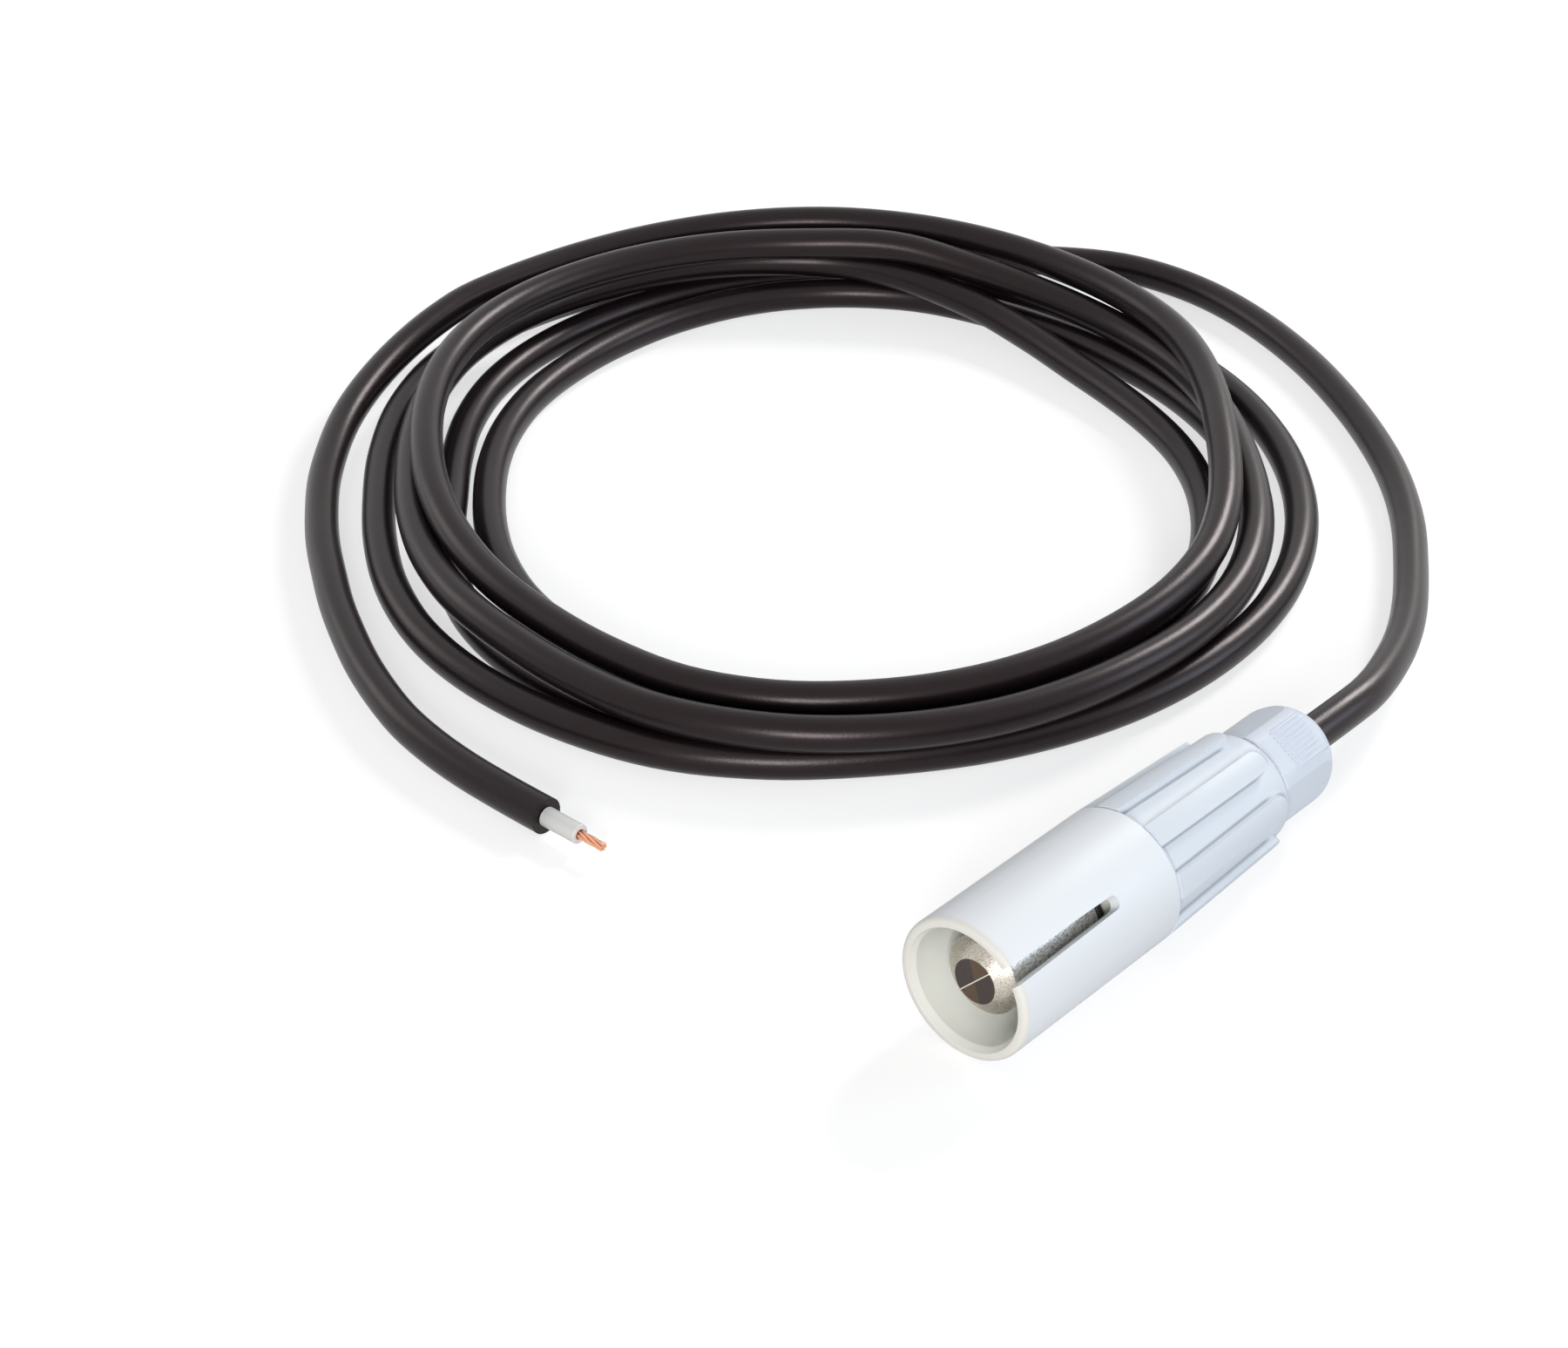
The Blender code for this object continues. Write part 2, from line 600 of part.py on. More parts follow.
def build_gland_nut():
    """Domed hexagon nut, with fine grip ridges on two opposite faces that run up on to its dome."""
    bar = hexagon("gland_nut", NUT_FLATS, NUT_START, PROBE_LENGTH, around(NUT_FACE_ANGLE))
    nut = add_object("gland_nut", bar, blue_white_plastic, axis)
    envelope = turned("nut_envelope", nut_outer_corners(0), closed=False)
    boolean(nut, add_cutter("nut_envelope", envelope, axis), "INTERSECT")
    half = NUT_RIDGE_WIDTH / 2
    face = NUT_FLATS / 2
    ridge = block("nut_ridge", (face / 2, -half, NUT_START + NUT_BASE_BAND),
                  (face + NUT_RIDGE_HEIGHT, half, PROBE_LENGTH))
    middle = (NUT_RIDGE_COUNT - 1) / 2
    places = []
    for side in (0, math.pi):
        turn = Matrix.Rotation(around(NUT_FACE_ANGLE) + side, 4, "Z")
        for index in range(NUT_RIDGE_COUNT):
            places.append(turn @ Matrix.Translation((0, (index - middle) * NUT_RIDGE_PITCH, 0)))
    ridges = add_cutter("nut_ridges", copies("nut_ridges", ridge, places), axis)
    outer = turned("ridge_envelope", nut_outer_corners(NUT_RIDGE_HEIGHT), closed=False)
    boolean(ridges, add_cutter("ridge_envelope", outer, axis), "INTERSECT")
    boolean(nut, ridges, "UNION")
    bore = turned("nut_bore", nut_bore_corners(), closed=False)
    boolean(nut, add_cutter("nut_bore", bore, axis), "DIFFERENCE")
    shade_round(nut)


def build_inner_wires():
    """The conductor in the sleeve and its own insulation, both straight on the probe's axis."""
    wire = turned("conductor", rod_between(WIRE_RADIUS, WIRE_START, CORE_START - CLEARANCE),
                  closed=False, steps=SMALL_STEPS)
    shade_round(add_object("conductor", wire, copper, axis))
    core = turned("core_insulation", rod_between(CORE_RADIUS, CORE_START, JACKET_START - CLEARANCE),
                  closed=False, steps=SMALL_STEPS)
    shade_round(add_object("core_insulation", core, core_plastic, axis))


def smooth_route(points, spacing):
    """Points read at an even spacing from a smooth curve through a route's own points."""
    ends = [points[0] * 2 - points[1], *points, points[-1] * 2 - points[-2]]
    fine = []
    for before, start, end, after in zip(ends, ends[1:], ends[2:], ends[3:]):
        for step in range(20):
            t = step / 20
            fine.append((start * 2 + (end - before) * t
                         + (before * 2 - start * 5 + end * 4 - after) * t ** 2
                         + (start * 3 - before - end * 3 + after) * t ** 3) / 2)
    fine.append(points[-1])
    distance = [0.0]
    for first, second in zip(fine, fine[1:]):
        distance.append(distance[-1] + (second - first).length)
    count = max(2, round(distance[-1] / spacing))
    even = []
    place = 0
    for index in range(count + 1):
        target = distance[-1] * index / count
        while place < len(fine) - 2 and distance[place + 1] < target:
            place += 1
        share = (target - distance[place]) / (distance[place + 1] - distance[place])
        even.append(fine[place].lerp(fine[place + 1], share))
    return even


def build_tube(name, points, radius, finish):
    """A round cord along a route, with its ends closed."""
    curve = bpy.data.curves.new(name, "CURVE")
    curve.dimensions = "3D"
    curve.bevel_depth = radius
    curve.bevel_resolution = 2
    curve.use_fill_caps = True
    spline = curve.splines.new("POLY")
    spline.points.add(len(points) - 1)
    for target, point in zip(spline.points, points):
        target.co = (*point, 1)
    curve.materials.append(finish)
    obj = bpy.data.objects.new(name, curve)
    sensor.objects.link(obj)
    return obj


def build_cable():
    """The free cable: its lead from the gland, the coil as one ring, and its stripped end."""
    jacket_x = JACKET_START - PROBE_LENGTH / 2
    exit_x = PROBE_LENGTH / 2
    lead = [Vector((jacket_x, 0, BODY_RADIUS)), Vector(((jacket_x + exit_x) / 2, 0, BODY_RADIUS)),
            Vector((exit_x, 0, BODY_RADIUS))]
    lead.extend(Vector(point) / 1000 for point in LEAD_ROUTE)
    build_tube("cable_lead", smooth_route(lead, CABLE_POINT_SPACING), CABLE_RADIUS, cable_rubber)
    tail = [Vector(point) / 1000 for point in TAIL_ROUTE]
    build_tube("cable_tail", smooth_route(tail, CABLE_POINT_SPACING), CABLE_RADIUS, cable_rubber)
    along = (tail[-1] - tail[-2]).normalized()
    core_start = tail[-1] + along * CLEARANCE
    core_end = core_start + along * END_CORE_LENGTH
    build_tube("end_core_insulation", [core_start, core_end], CORE_RADIUS, core_plastic)
    wire_start = core_end + along * CLEARANCE
    build_tube("end_conductor", [wire_start, wire_start + along * END_WIRE_LENGTH], WIRE_RADIUS, copper)


def build_coil():
    """The outer shape of the coiled cable, a flat ring pressed slightly oval."""
    corners = (
        (COIL_OUTER_RADIUS, COIL_HEIGHT, COIL_FILLET),
        (COIL_OUTER_RADIUS, 0, 0),
        (COIL_INNER_RADIUS, 0, 0),
        (COIL_INNER_RADIUS, COIL_HEIGHT, COIL_FILLET),
    )
    ring = turned("cable_coil", corners)
    place = Matrix.Translation((*COIL_CENTRE, 0)) @ Matrix.Rotation(COIL_TURN, 4, "Z")
    ring.transform(place @ Matrix.Diagonal((COIL_STRETCH, 1, 1, 1)))
    shade_round(add_object("cable_coil", ring, cable_rubber))


for old in list(bpy.data.objects):
    bpy.data.objects.remove(old)

scene_collection = bpy.context.scene.collection
sensor = bpy.data.collections.new("level_sensor")
cutters = bpy.data.collections.new("cutters")
scene_collection.children.link(sensor)
scene_collection.children.link(cutters)

white_plastic = material("white_plastic", (0.80, 0.83, 0.86), 0.38)
blue_white_plastic = material("blue_white_plastic", (0.74, 0.79, 0.86), 0.35)
grey_plastic = material("grey_plastic", (0.55, 0.56, 0.57), 0.5)
core_plastic = material("core_plastic", (0.78, 0.78, 0.76), 0.45)
steel = material("steel", (0.60, 0.58, 0.55), 0.32, 1.0)
brass = material("brass", (0.72, 0.56, 0.28), 0.35, 1.0)
copper = material("copper", (0.72, 0.40, 0.26), 0.35, 1.0)
black_rubber = material("black_rubber", (0.02, 0.02, 0.02), 0.6)
cable_rubber = material("cable_rubber", (0.024, 0.020, 0.021), 0.42)

axis = bpy.data.objects.new("probe_axis", None)
sensor.objects.link(axis)
axis.location = (-PROBE_LENGTH / 2, 0, BODY_RADIUS)
axis.rotation_euler = (0, math.pi / 2, 0)

build_skirt()
build_electrode()
build_seals()
build_washers()
build_lock_nut()
build_terminal()
build_grip()
build_gland_seal()
build_gland_cage()
build_gland_nut()
build_inner_wires()
build_cable()
build_coil()
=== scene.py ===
# %% [markdown]
# # A level electrode on its cable
# A steel rod senses a liquid. A slotted plastic skirt protects it, a ribbed grip screws on behind
# the skirt, and a domed nut clamps a round black cable that lies coiled beside the probe.
# The measured solids come in first. They stay where they are, and what is dressed here takes the
# place of the ones that show.

# %% Load the measured parts
import math

import bpy
import numpy as np
from mathutils import Matrix, Vector
from mathutils.kdtree import KDTree


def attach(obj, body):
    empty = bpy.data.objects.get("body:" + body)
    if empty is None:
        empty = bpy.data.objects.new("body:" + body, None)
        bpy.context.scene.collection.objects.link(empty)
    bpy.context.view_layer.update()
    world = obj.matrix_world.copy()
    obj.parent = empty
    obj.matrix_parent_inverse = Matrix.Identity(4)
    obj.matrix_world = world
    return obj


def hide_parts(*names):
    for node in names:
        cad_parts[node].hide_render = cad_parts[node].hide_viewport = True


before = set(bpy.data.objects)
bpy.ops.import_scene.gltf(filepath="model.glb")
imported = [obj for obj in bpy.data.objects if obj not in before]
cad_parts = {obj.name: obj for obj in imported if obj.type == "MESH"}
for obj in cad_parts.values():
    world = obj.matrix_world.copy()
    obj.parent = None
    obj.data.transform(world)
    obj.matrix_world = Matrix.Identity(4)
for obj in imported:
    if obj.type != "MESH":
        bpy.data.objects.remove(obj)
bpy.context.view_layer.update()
MM = 0.001

# %% [markdown]
# ## The camera
# The view looks down at the probe from in front of its open mouth, with a fairly long lens. It was
# found by matching the probe's circles and the cable's width, so it is the first thing that is set.
# The plain Standard view transform shows each colour about as it is written.

# %% Set the camera
camera_data = bpy.data.cameras.new("camera")
camera_data.lens = 70
camera_data.sensor_width = 36
camera_data.clip_start = 0.01
camera = bpy.data.objects.new("camera", camera_data)
bpy.context.scene.collection.objects.link(camera)
camera.location = (-0.30009, -0.20045, 0.26785)
camera.rotation_euler = (math.radians(57.76), 0, math.radians(-48.05))
bpy.context.scene.camera = camera
bpy.context.scene.view_settings.view_transform = "Standard"
print("camera to the origin in mm:", round(camera.location.length / MM))

# %% [markdown]
# ## The cable's route
# A cable is easiest to lay as a line of points with a round section. The loose lead and the loose
# tail are placed point by point, in millimetres. The coil is worked out instead: each turn has a
# radius and a height at eight stations, and a smooth curve runs through them. The turns spiral
# inward on the floor, then climb and lie on each other.

# %% Place the lead, the turns and the tail
CABLE_RADIUS = 3.0 * MM
AXIS_HEIGHT = 11.0 * MM
LEAD = (
    (17, 0, 11), (29, 0, 11), (41, 0, 11), (48, 0, 11), (54, 0.1, 10.9), (61, 0.8, 10.3),
    (70, 3.2, 9.1), (81.5, 7.4, 7.5), (93.5, 13.2, 6), (107.5, 21.5, 4.6), (122.5, 31.5, 3.7),
    (135.5, 42.5, 3.2), (146.5, 54.5, 3.1), (156.5, 67.8, 3.1), (165, 81.5, 3.1), (171.8, 96, 3.1),
    (176, 109.5, 3.1), (177.3, 121.5, 3.1), (175.8, 133, 3.1), (170.8, 143, 3.1),
    (162.8, 153.4, 3.1), (151.6, 165.2, 3.1),
)
TURNS = (
    ((97.5, 3.1), (95.5, 3.1), (84.2, 3.1), (88.4, 3.1),
     (86, 3.1), (82.2, 3.1), (80.9, 3.1), (85.4, 3.1)),
    ((91, 3.1), (82, 3.1), (71.2, 3.1), (80.5, 3.1),
     (79.6, 3.1), (75.3, 3.1), (72.8, 3.1), (75, 3.1)),
    ((83, 3.1), (72.1, 3.1), (64.5, 3.1), (69, 3.1),
     (73.4, 3.1), (68.6, 3.1), (63.4, 3.1), (65.2, 4)),
    ((84.8, 8.9), (87, 8.8), (78.2, 7.8), (82, 8.4),
     (87.8, 8.8), (79, 8.4), (70.8, 8.9), (76.5, 9)),
    ((82, 14.2), (84, 14.2), (75.1, 13.2), (74.4, 9.2),
     (77.2, 8.4), (72, 10.9), (66.6, 13.9), (79.4, 14.4)),
    ((93.4, 14.2), (97.8, 10.6)),
)
TAIL = (
    (56.5, 210.6, 9.3), (45.5, 208.8, 7.6), (34.8, 205.3, 6.2), (25, 200.7, 5), (16, 194.8, 4.1),
    (5.5, 186, 3.4), (-3, 177, 3.1), (-10, 168.5, 3.1), (-16.3, 159.6, 3.1), (-22.2, 150.8, 3.1),
    (-27.3, 142, 3.1), (-32, 133, 3.1), (-36, 123.6, 3.1), (-38.9, 115, 3.1), (-40.7, 106.1, 3.1),
    (-41.6, 98, 3.1), (-41.9, 91, 3.1), (-42, 85, 3.1), (-42, 80, 3.1),
)
print("points placed:", len(LEAD), "lead,", sum(map(len, TURNS)), "coil,", len(TAIL), "tail")

# %% [markdown]
# ## One smooth line
# A Catmull-Rom curve passes through every point it is given, so it keeps the route where it was
# placed. It first smooths the stations of the coil, which are then turned into places on the floor
# and bulge a little at the front left. It then smooths the whole route, which is spaced evenly.


# %% Work out the centreline
def through(before, start, end, after, share):
    """A point of the smooth curve that runs through start and end."""
    return (start * 2 + (end - before) * share
            + (before * 2 - start * 5 + end * 4 - after) * share**2
            + (start * 3 - before - end * 3 + after) * share**3) / 2


def curve_through(points, parts):
    """The smooth curve through all the points, with this many parts between two of them."""
    points = [np.array(point, float) for point in points]
    padded = [points[0] * 2 - points[1], *points, points[-1] * 2 - points[-2]]
    fine = [through(*padded[i:i + 4], part / parts)
            for i in range(len(points) - 1) for part in range(parts)]
    return np.array([*fine, points[-1]])


def evenly(points, spacing):
    """The same line, with its points a fixed distance apart."""
    run = np.concatenate([[0], np.cumsum(np.linalg.norm(np.diff(points, axis=0), axis=1))])
    places = np.linspace(0, run[-1], round(run[-1] / spacing) + 1)
    return np.stack([np.interp(places, run, points[:, k]) for k in range(3)], axis=1)


COIL_MIDDLE = (66.0, 113.0)
FIRST_STATION, STATION_STEP = math.radians(44), math.radians(45)
PARTS_OF_STEP = 4
BULGE, BULGE_AT = 2.2, math.radians(203)
BULGE_NARROWNESS = 24
coil_polar = curve_through([station for turn in TURNS for station in turn], PARTS_OF_STEP)
angles = FIRST_STATION + STATION_STEP / PARTS_OF_STEP * np.arange(len(coil_polar))
coil_polar[:, 0] += BULGE * np.maximum(np.cos(angles - BULGE_AT), 0) ** BULGE_NARROWNESS
coil = np.stack([COIL_MIDDLE[0] + coil_polar[:, 0] * np.cos(angles),
                 COIL_MIDDLE[1] + coil_polar[:, 0] * np.sin(angles), coil_polar[:, 1]], axis=1)
centreline = evenly(curve_through([*LEAD, *coil, *TAIL], parts=16) * MM, spacing=CABLE_RADIUS)
print("cable points:", len(centreline))

# %% [markdown]
# ## Strands that press on each other
# Turns placed as listed cut into each other by a few tenths of a millimetre where they cross. Real
# strands push each other aside. So each point that is nearer than one cable's width to another
# strand is pushed away a little, the push is spread along the cable, and this is repeated.

# %% Push crossing strands apart
APART = 2 * CABLE_RADIUS * 0.995
SAME_STRAND = 14
SPREAD = np.hanning(13) / np.hanning(13).sum()
PUSH_SHARE, SPREAD_GAIN = 0.4, 1.6
POINTS_IN_NUT = 12
ROUNDS = 30
OFF_FLOOR = 0.02 * MM


def pushed_apart(points):
    """One round of pushing strands that lie in each other away from each other."""
    tree = KDTree(len(points))
    for index, point in enumerate(points):
        tree.insert(point, index)
    tree.balance()
    push = np.zeros_like(points)
    for index, point in enumerate(points):
        for _, other, distance in tree.find_range(point, APART):
            if abs(other - index) > SAME_STRAND and distance > 0:
                away = (point - points[other]) / distance
                push[index] += away * (APART - distance) * PUSH_SHARE
    for k in range(3):
        push[:, k] = np.convolve(push[:, k], SPREAD, mode="same") * SPREAD_GAIN
    push[:POINTS_IN_NUT] = 0
    moved = points + push
    moved[:, 2] = np.maximum(moved[:, 2], CABLE_RADIUS + OFF_FLOOR)
    return moved


for _ in range(ROUNDS):
    centreline = pushed_apart(centreline)
centreline = evenly(centreline, spacing=CABLE_RADIUS)

# %% [markdown]
# ## The cable itself
# The curve object takes the centreline as it is, and its bevel gives the round jacket. A poly
# spline is used because its points are already close together and smooth. The bevel is one metre
# deep and each point's radius scales it down, so the curve's own box fits the jacket.

# %% Lay the cable
cable_curve = bpy.data.curves.new("cable", "CURVE")
cable_curve.dimensions = "3D"
cable_curve.bevel_depth = 1.0
cable_curve.bevel_resolution = 9
cable_curve.use_fill_caps = True
spline = cable_curve.splines.new("POLY")
spline.points.add(len(centreline) - 1)
for place, point in zip(spline.points, centreline):
    place.co = (*point, 1)
    place.radius = CABLE_RADIUS
spline.use_smooth = True
cable = bpy.data.objects.new("cable", cable_curve)
bpy.context.scene.collection.objects.link(cable)
print("highest cable point in mm:", round(centreline[:, 2].max() / MM, 1))

# %% [markdown]
# ## Helpers for round pieces
# Nearly all of the probe is turned or moulded round one axis. Such a piece starts as a circle,
# which is extruded and scaled ring by ring along its outline. An outline is written as its corners,
# each with a radius, a height above the probe's mouth and a fillet, all in millimetres.

# %% Make round pieces ring by ring
ROUND = 160
WELD = 0.001 * MM


def deselect_all():
    """Leaves edit mode and selects nothing, so that an operator acts on the new piece alone."""
    if bpy.context.mode != "OBJECT":
        bpy.ops.object.mode_set(mode="OBJECT")
    bpy.ops.object.select_all(action="DESELECT")


def rounded(corners, steps=5):
    """(radius, height) points in metres from corners of (radius, height, fillet)."""
    points = []
    for index, (radius, height, fillet) in enumerate(corners):
        corner = Vector((radius, height))
        if not fillet:
            points.append(corner)
            continue
        before = Vector(corners[index - 1][:2])
        after = Vector(corners[(index + 1) % len(corners)][:2])
        back, ahead = (before - corner).normalized(), (after - corner).normalized()
        half = back.angle(ahead) / 2
        start = corner + back * fillet / math.tan(half)
        end = corner + ahead * fillet / math.tan(half)
        centre = corner + (back + ahead).normalized() * fillet / math.sin(half)
        swing = (start - centre).angle_signed(end - centre)
        for step in range(steps + 1):
            points.append(centre + Matrix.Rotation(-swing * step / steps, 2) @ (start - centre))
    return [(point.x * MM, point.y * MM) for point in points]


def turned(name, outline, hollow=True, sides=ROUND):
    """A round piece, pulled up from its first ring; a hollow one comes back to that ring."""
    deselect_all()
    radius, height = outline[0]
    bpy.ops.mesh.primitive_circle_add(vertices=sides, radius=radius, location=(0, 0, height),
                                      fill_type="NOTHING" if hollow else "NGON")
    piece = bpy.context.active_object
    piece.name = piece.data.name = name
    bpy.ops.object.transform_apply(location=True, rotation=True, scale=True)
    bpy.ops.object.mode_set(mode="EDIT")
    bpy.ops.mesh.select_all(action="SELECT")
    rings = [*outline[1:], outline[0]] if hollow else outline[1:]
    for ring_radius, ring_height in rings:
        rise = (0, 0, ring_height - height)
        bpy.ops.mesh.extrude_region_move(TRANSFORM_OT_translate={"value": rise})
        share = ring_radius / radius
        bpy.ops.transform.resize(value=(share, share, 1), center_override=(0, 0, ring_height))
        radius, height = ring_radius, ring_height
    bpy.ops.mesh.select_all(action="SELECT")
    bpy.ops.mesh.remove_doubles(threshold=WELD)
    bpy.ops.mesh.normals_make_consistent(inside=False)
    bpy.ops.object.mode_set(mode="OBJECT")
    return piece


# %% [markdown]
# ## Helpers that turn a piece and lay it down
# Each piece is made standing on the probe's mouth, where heights are easy to read. When it is
# ready it is laid down on the probe's axis, its place is applied to its mesh, and it takes the
# place of a measured solid and rides on that solid's body.

# %% Turn a piece and lay it down
PROBE_LENGTH = 82.0 * MM
SMOOTH_BELOW = math.radians(28)


def make_active(piece):
    """Selects one piece alone."""
    deselect_all()
    piece.select_set(True)
    bpy.context.view_layer.objects.active = piece


def turn_about_axis(piece, angle):
    """Turns a standing piece about its own axis, by the angle from local +X."""
    make_active(piece)
    piece.rotation_euler.z = angle
    bpy.ops.object.transform_apply(location=True, rotation=True, scale=True)


def facing(degrees):
    """The local turn that faces a side of the lying probe, counted from +Y towards +Z."""
    return math.radians(degrees + 90)


def lay_down(piece, replaces, body):
    """Lays a standing piece on the probe's axis, and puts it in place of measured solids."""
    make_active(piece)
    piece.rotation_euler = (0, math.pi / 2, 0)
    piece.location = (-PROBE_LENGTH / 2, 0, AXIS_HEIGHT)
    bpy.ops.object.transform_apply(location=True, rotation=True, scale=True)
    bpy.ops.object.shade_smooth_by_angle(angle=SMOOTH_BELOW)
    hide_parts(*replaces)
    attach(piece, body)
    print(piece.name, len(piece.data.polygons), "faces")


# %% [markdown]
# ## Helpers for slabs and cuts
# A slot, a rib and a ridge all start as a slab that stands beside the axis, with the corners of its
# upper end rounded by a bevel. A Boolean modifier then cuts the slab out of a piece, trims it or
# joins it on.

# %% Make slabs, and combine pieces
BARELY = 0.01 * MM


def soften_end(piece, height, corner, segments):
    """Rounds the edges of a slab's upper end that run outwards."""
    make_active(piece)
    bpy.ops.object.mode_set(mode="EDIT")
    bpy.ops.mesh.select_mode(type="EDGE")
    bpy.ops.mesh.select_all(action="DESELECT")
    bpy.ops.object.mode_set(mode="OBJECT")
    for edge in piece.data.edges:
        first, second = (piece.data.vertices[index].co for index in edge.vertices)
        at_top = min(first.z, second.z) > height * MM - BARELY
        edge.select = at_top and abs(first.y - second.y) < BARELY
    bpy.ops.object.mode_set(mode="EDIT")
    bpy.ops.mesh.bevel(offset=corner * MM, segments=segments, affect="EDGES")
    bpy.ops.object.mode_set(mode="OBJECT")


def slab(name, low, high):
    """A box between two corners in millimetres, each as (out, across, up)."""
    deselect_all()
    low, high = Vector(low) * MM, Vector(high) * MM
    bpy.ops.mesh.primitive_cube_add(size=1, location=(low + high) / 2, scale=high - low)
    piece = bpy.context.active_object
    piece.name = piece.data.name = name
    bpy.ops.object.transform_apply(location=True, rotation=True, scale=True)
    return piece


def combine(piece, tool, operation):
    """Joins, cuts or keeps what the tool body holds, and removes the tool."""
    make_active(piece)
    modifier = piece.modifiers.new("combine", "BOOLEAN")
    modifier.operation = operation
    modifier.object = tool
    modifier.solver = "EXACT"
    bpy.ops.object.modifier_apply(modifier=modifier.name)
    bpy.data.objects.remove(tool)


# %% [markdown]
# ## The protective skirt
# The skirt is a smooth moulded tube. Its rim has a rounded outer edge and a chamfer inside, a web
# across it carries the electrode, and one long slot lets the liquid in. The tube is pulled ring by
# ring. The slot is cut with a slab that is narrower at its round end, as a moulded slot is.

# %% Make the skirt
SLOT_FACES = 141.5
SLOT_MOUTH_HALF, SLOT_END_HALF, SLOT_LENGTH = 1.45, 1.05, 23.2
ROUND_END_SHARE = 0.98
WEB_FRONT, WEB_BACK = 25.1, 28.5
skirt = turned("skirt", rounded((
    (11.0, 35.4, 0.35), (11.0, 0.0, 0.85), (9.62, 0.0, 0.12), (9.1, 1.25, 0.3),
    (9.1, WEB_FRONT, 0.4), (3.3, WEB_FRONT, 0.1), (3.3, WEB_BACK, 0.1), (9.1, WEB_BACK, 0.3),
    (9.1, 35.4, 0.25),
)))
slot_tool = slab("slot_tool", (8.0, -SLOT_MOUTH_HALF, -1.0), (13.0, SLOT_MOUTH_HALF, SLOT_LENGTH))
make_active(slot_tool)
bpy.ops.object.mode_set(mode="EDIT")
bpy.ops.mesh.select_mode(type="VERT")
bpy.ops.mesh.select_all(action="DESELECT")
bpy.ops.object.mode_set(mode="OBJECT")
for vertex in slot_tool.data.vertices:
    vertex.select = vertex.co.z > 0
bpy.ops.object.mode_set(mode="EDIT")
narrowing = (1, SLOT_END_HALF / SLOT_MOUTH_HALF, 1)
bpy.ops.transform.resize(value=narrowing, center_override=(0, 0, 0))
bpy.ops.object.mode_set(mode="OBJECT")
soften_end(slot_tool, SLOT_LENGTH, SLOT_END_HALF * ROUND_END_SHARE, segments=12)
turn_about_axis(slot_tool, facing(SLOT_FACES))
combine(skirt, slot_tool, "DIFFERENCE")
lay_down(skirt, ["protective_skirt"], "sensing_end")

# %% [markdown]
# ## The steel electrode
# The rod is turned from bar. Its end face was faced off on the lathe, which leaves rings that are
# a hundredth of a millimetre deep, and a short cone leads to the full width. A hidden stud behind
# the head passes through the web. The rings are pulled like every other ring of the outline.

# %% Turn the electrode
TIP, FACE_RADIUS = 2.7, 3.4
GROOVES = 22
GROOVE_DEPTH = 0.010
rod_outline = rounded((
    (3.0, 41.5, 0), (3.0, 23.1, 0), (6.0, 23.1, 0.2), (6.0, 4.6, 0.35), (FACE_RADIUS, TIP, 0.12),
    (3.3, TIP, 0),
))
groove_radii = np.linspace(3.2, 0.1, GROOVES * 2)
rod_outline = rod_outline[:-1] + [(radius * MM, (TIP + GROOVE_DEPTH * (number % 2)) * MM)
                                  for number, radius in enumerate(groove_radii)]
electrode = turned("electrode", rod_outline, hollow=False)
lay_down(electrode, ["electrode_rod"], "sensing_end")

# %% [markdown]
# ## The electrode's sealing ring
# A rubber ring sits behind the head, pressed on the web. Its section is a circle, which is pulled
# round like any other outline.

# %% Turn the ring
RING_OUT, RING_UP, RING_THICKNESS = 5.2, 24.1, 1.4
ring_section = [(RING_OUT * MM + RING_THICKNESS / 2 * MM * math.cos(a),
                 RING_UP * MM + RING_THICKNESS / 2 * MM * math.sin(a))
                for a in np.linspace(0, math.tau, 16, endpoint=False)]
tip_ring = turned("electrode_ring", ring_section)
lay_down(tip_ring, ["electrode_o_ring"], "sensing_end")

# %% [markdown]
# ## The ribbed grip
# The grip is a tapered body with raised ribs, so that wet fingers can screw it on. The body is
# turned first. One rib is a slab with rounded corners, trimmed to the taper and softened, and its
# copies are joined to the body all round.


# %% Make the grip
def ease_edges(piece, width, segments, above):
    """Rounds every edge that is sharper than an angle in degrees."""
    make_active(piece)
    modifier = piece.modifiers.new("ease", "BEVEL")
    modifier.width = width
    modifier.segments = segments
    modifier.limit_method = "ANGLE"
    modifier.angle_limit = math.radians(above)
    bpy.ops.object.modifier_apply(modifier=modifier.name)


def copy_of(piece, name):
    """A copy with its own mesh."""
    made = piece.copy()
    made.data = piece.data.copy()
    made.name = made.data.name = name
    bpy.context.scene.collection.objects.link(made)
    return made


RIBS = 8
FIRST_RIB_FACES = 119
RIB_HALF, RIB_START, RIB_END = 1.85, 35.75, 63.2
RIB_CORNER = 1.55
RIB_EDGE = 0.42 * MM
grip = turned("grip", rounded((
    (6.1, 74.0, 0), (6.1, 66.0, 0), (8.9, 66.0, 1.3), (8.93, 63.0, 0), (9.8, 36.0, 0.2),
    (10.55, 35.9, 0.1), (10.55, 35.47, 0), (8.8, 35.47, 0), (8.8, 34.5, 0), (7.65, 34.5, 0),
    (7.65, 32.7, 0), (8.8, 32.7, 0), (8.8, 30.5, 0), (6.7, 30.5, 0), (6.7, 59.5, 0),
    (3.3, 59.5, 0), (3.3, 66.8, 0), (4.9, 66.8, 0), (4.9, 74.0, 0),
)))
rib = slab("rib", (8.4, -RIB_HALF, RIB_START), (12.0, RIB_HALF, RIB_END))
soften_end(rib, RIB_END, RIB_CORNER, segments=8)
taper_outline = [(11.0 * MM, 35.0 * MM), (11.0 * MM, 35.7 * MM), (10.1 * MM, 64.0 * MM)]
combine(rib, turned("taper", taper_outline, hollow=False), "INTERSECT")
ease_edges(rib, RIB_EDGE, segments=3, above=50)
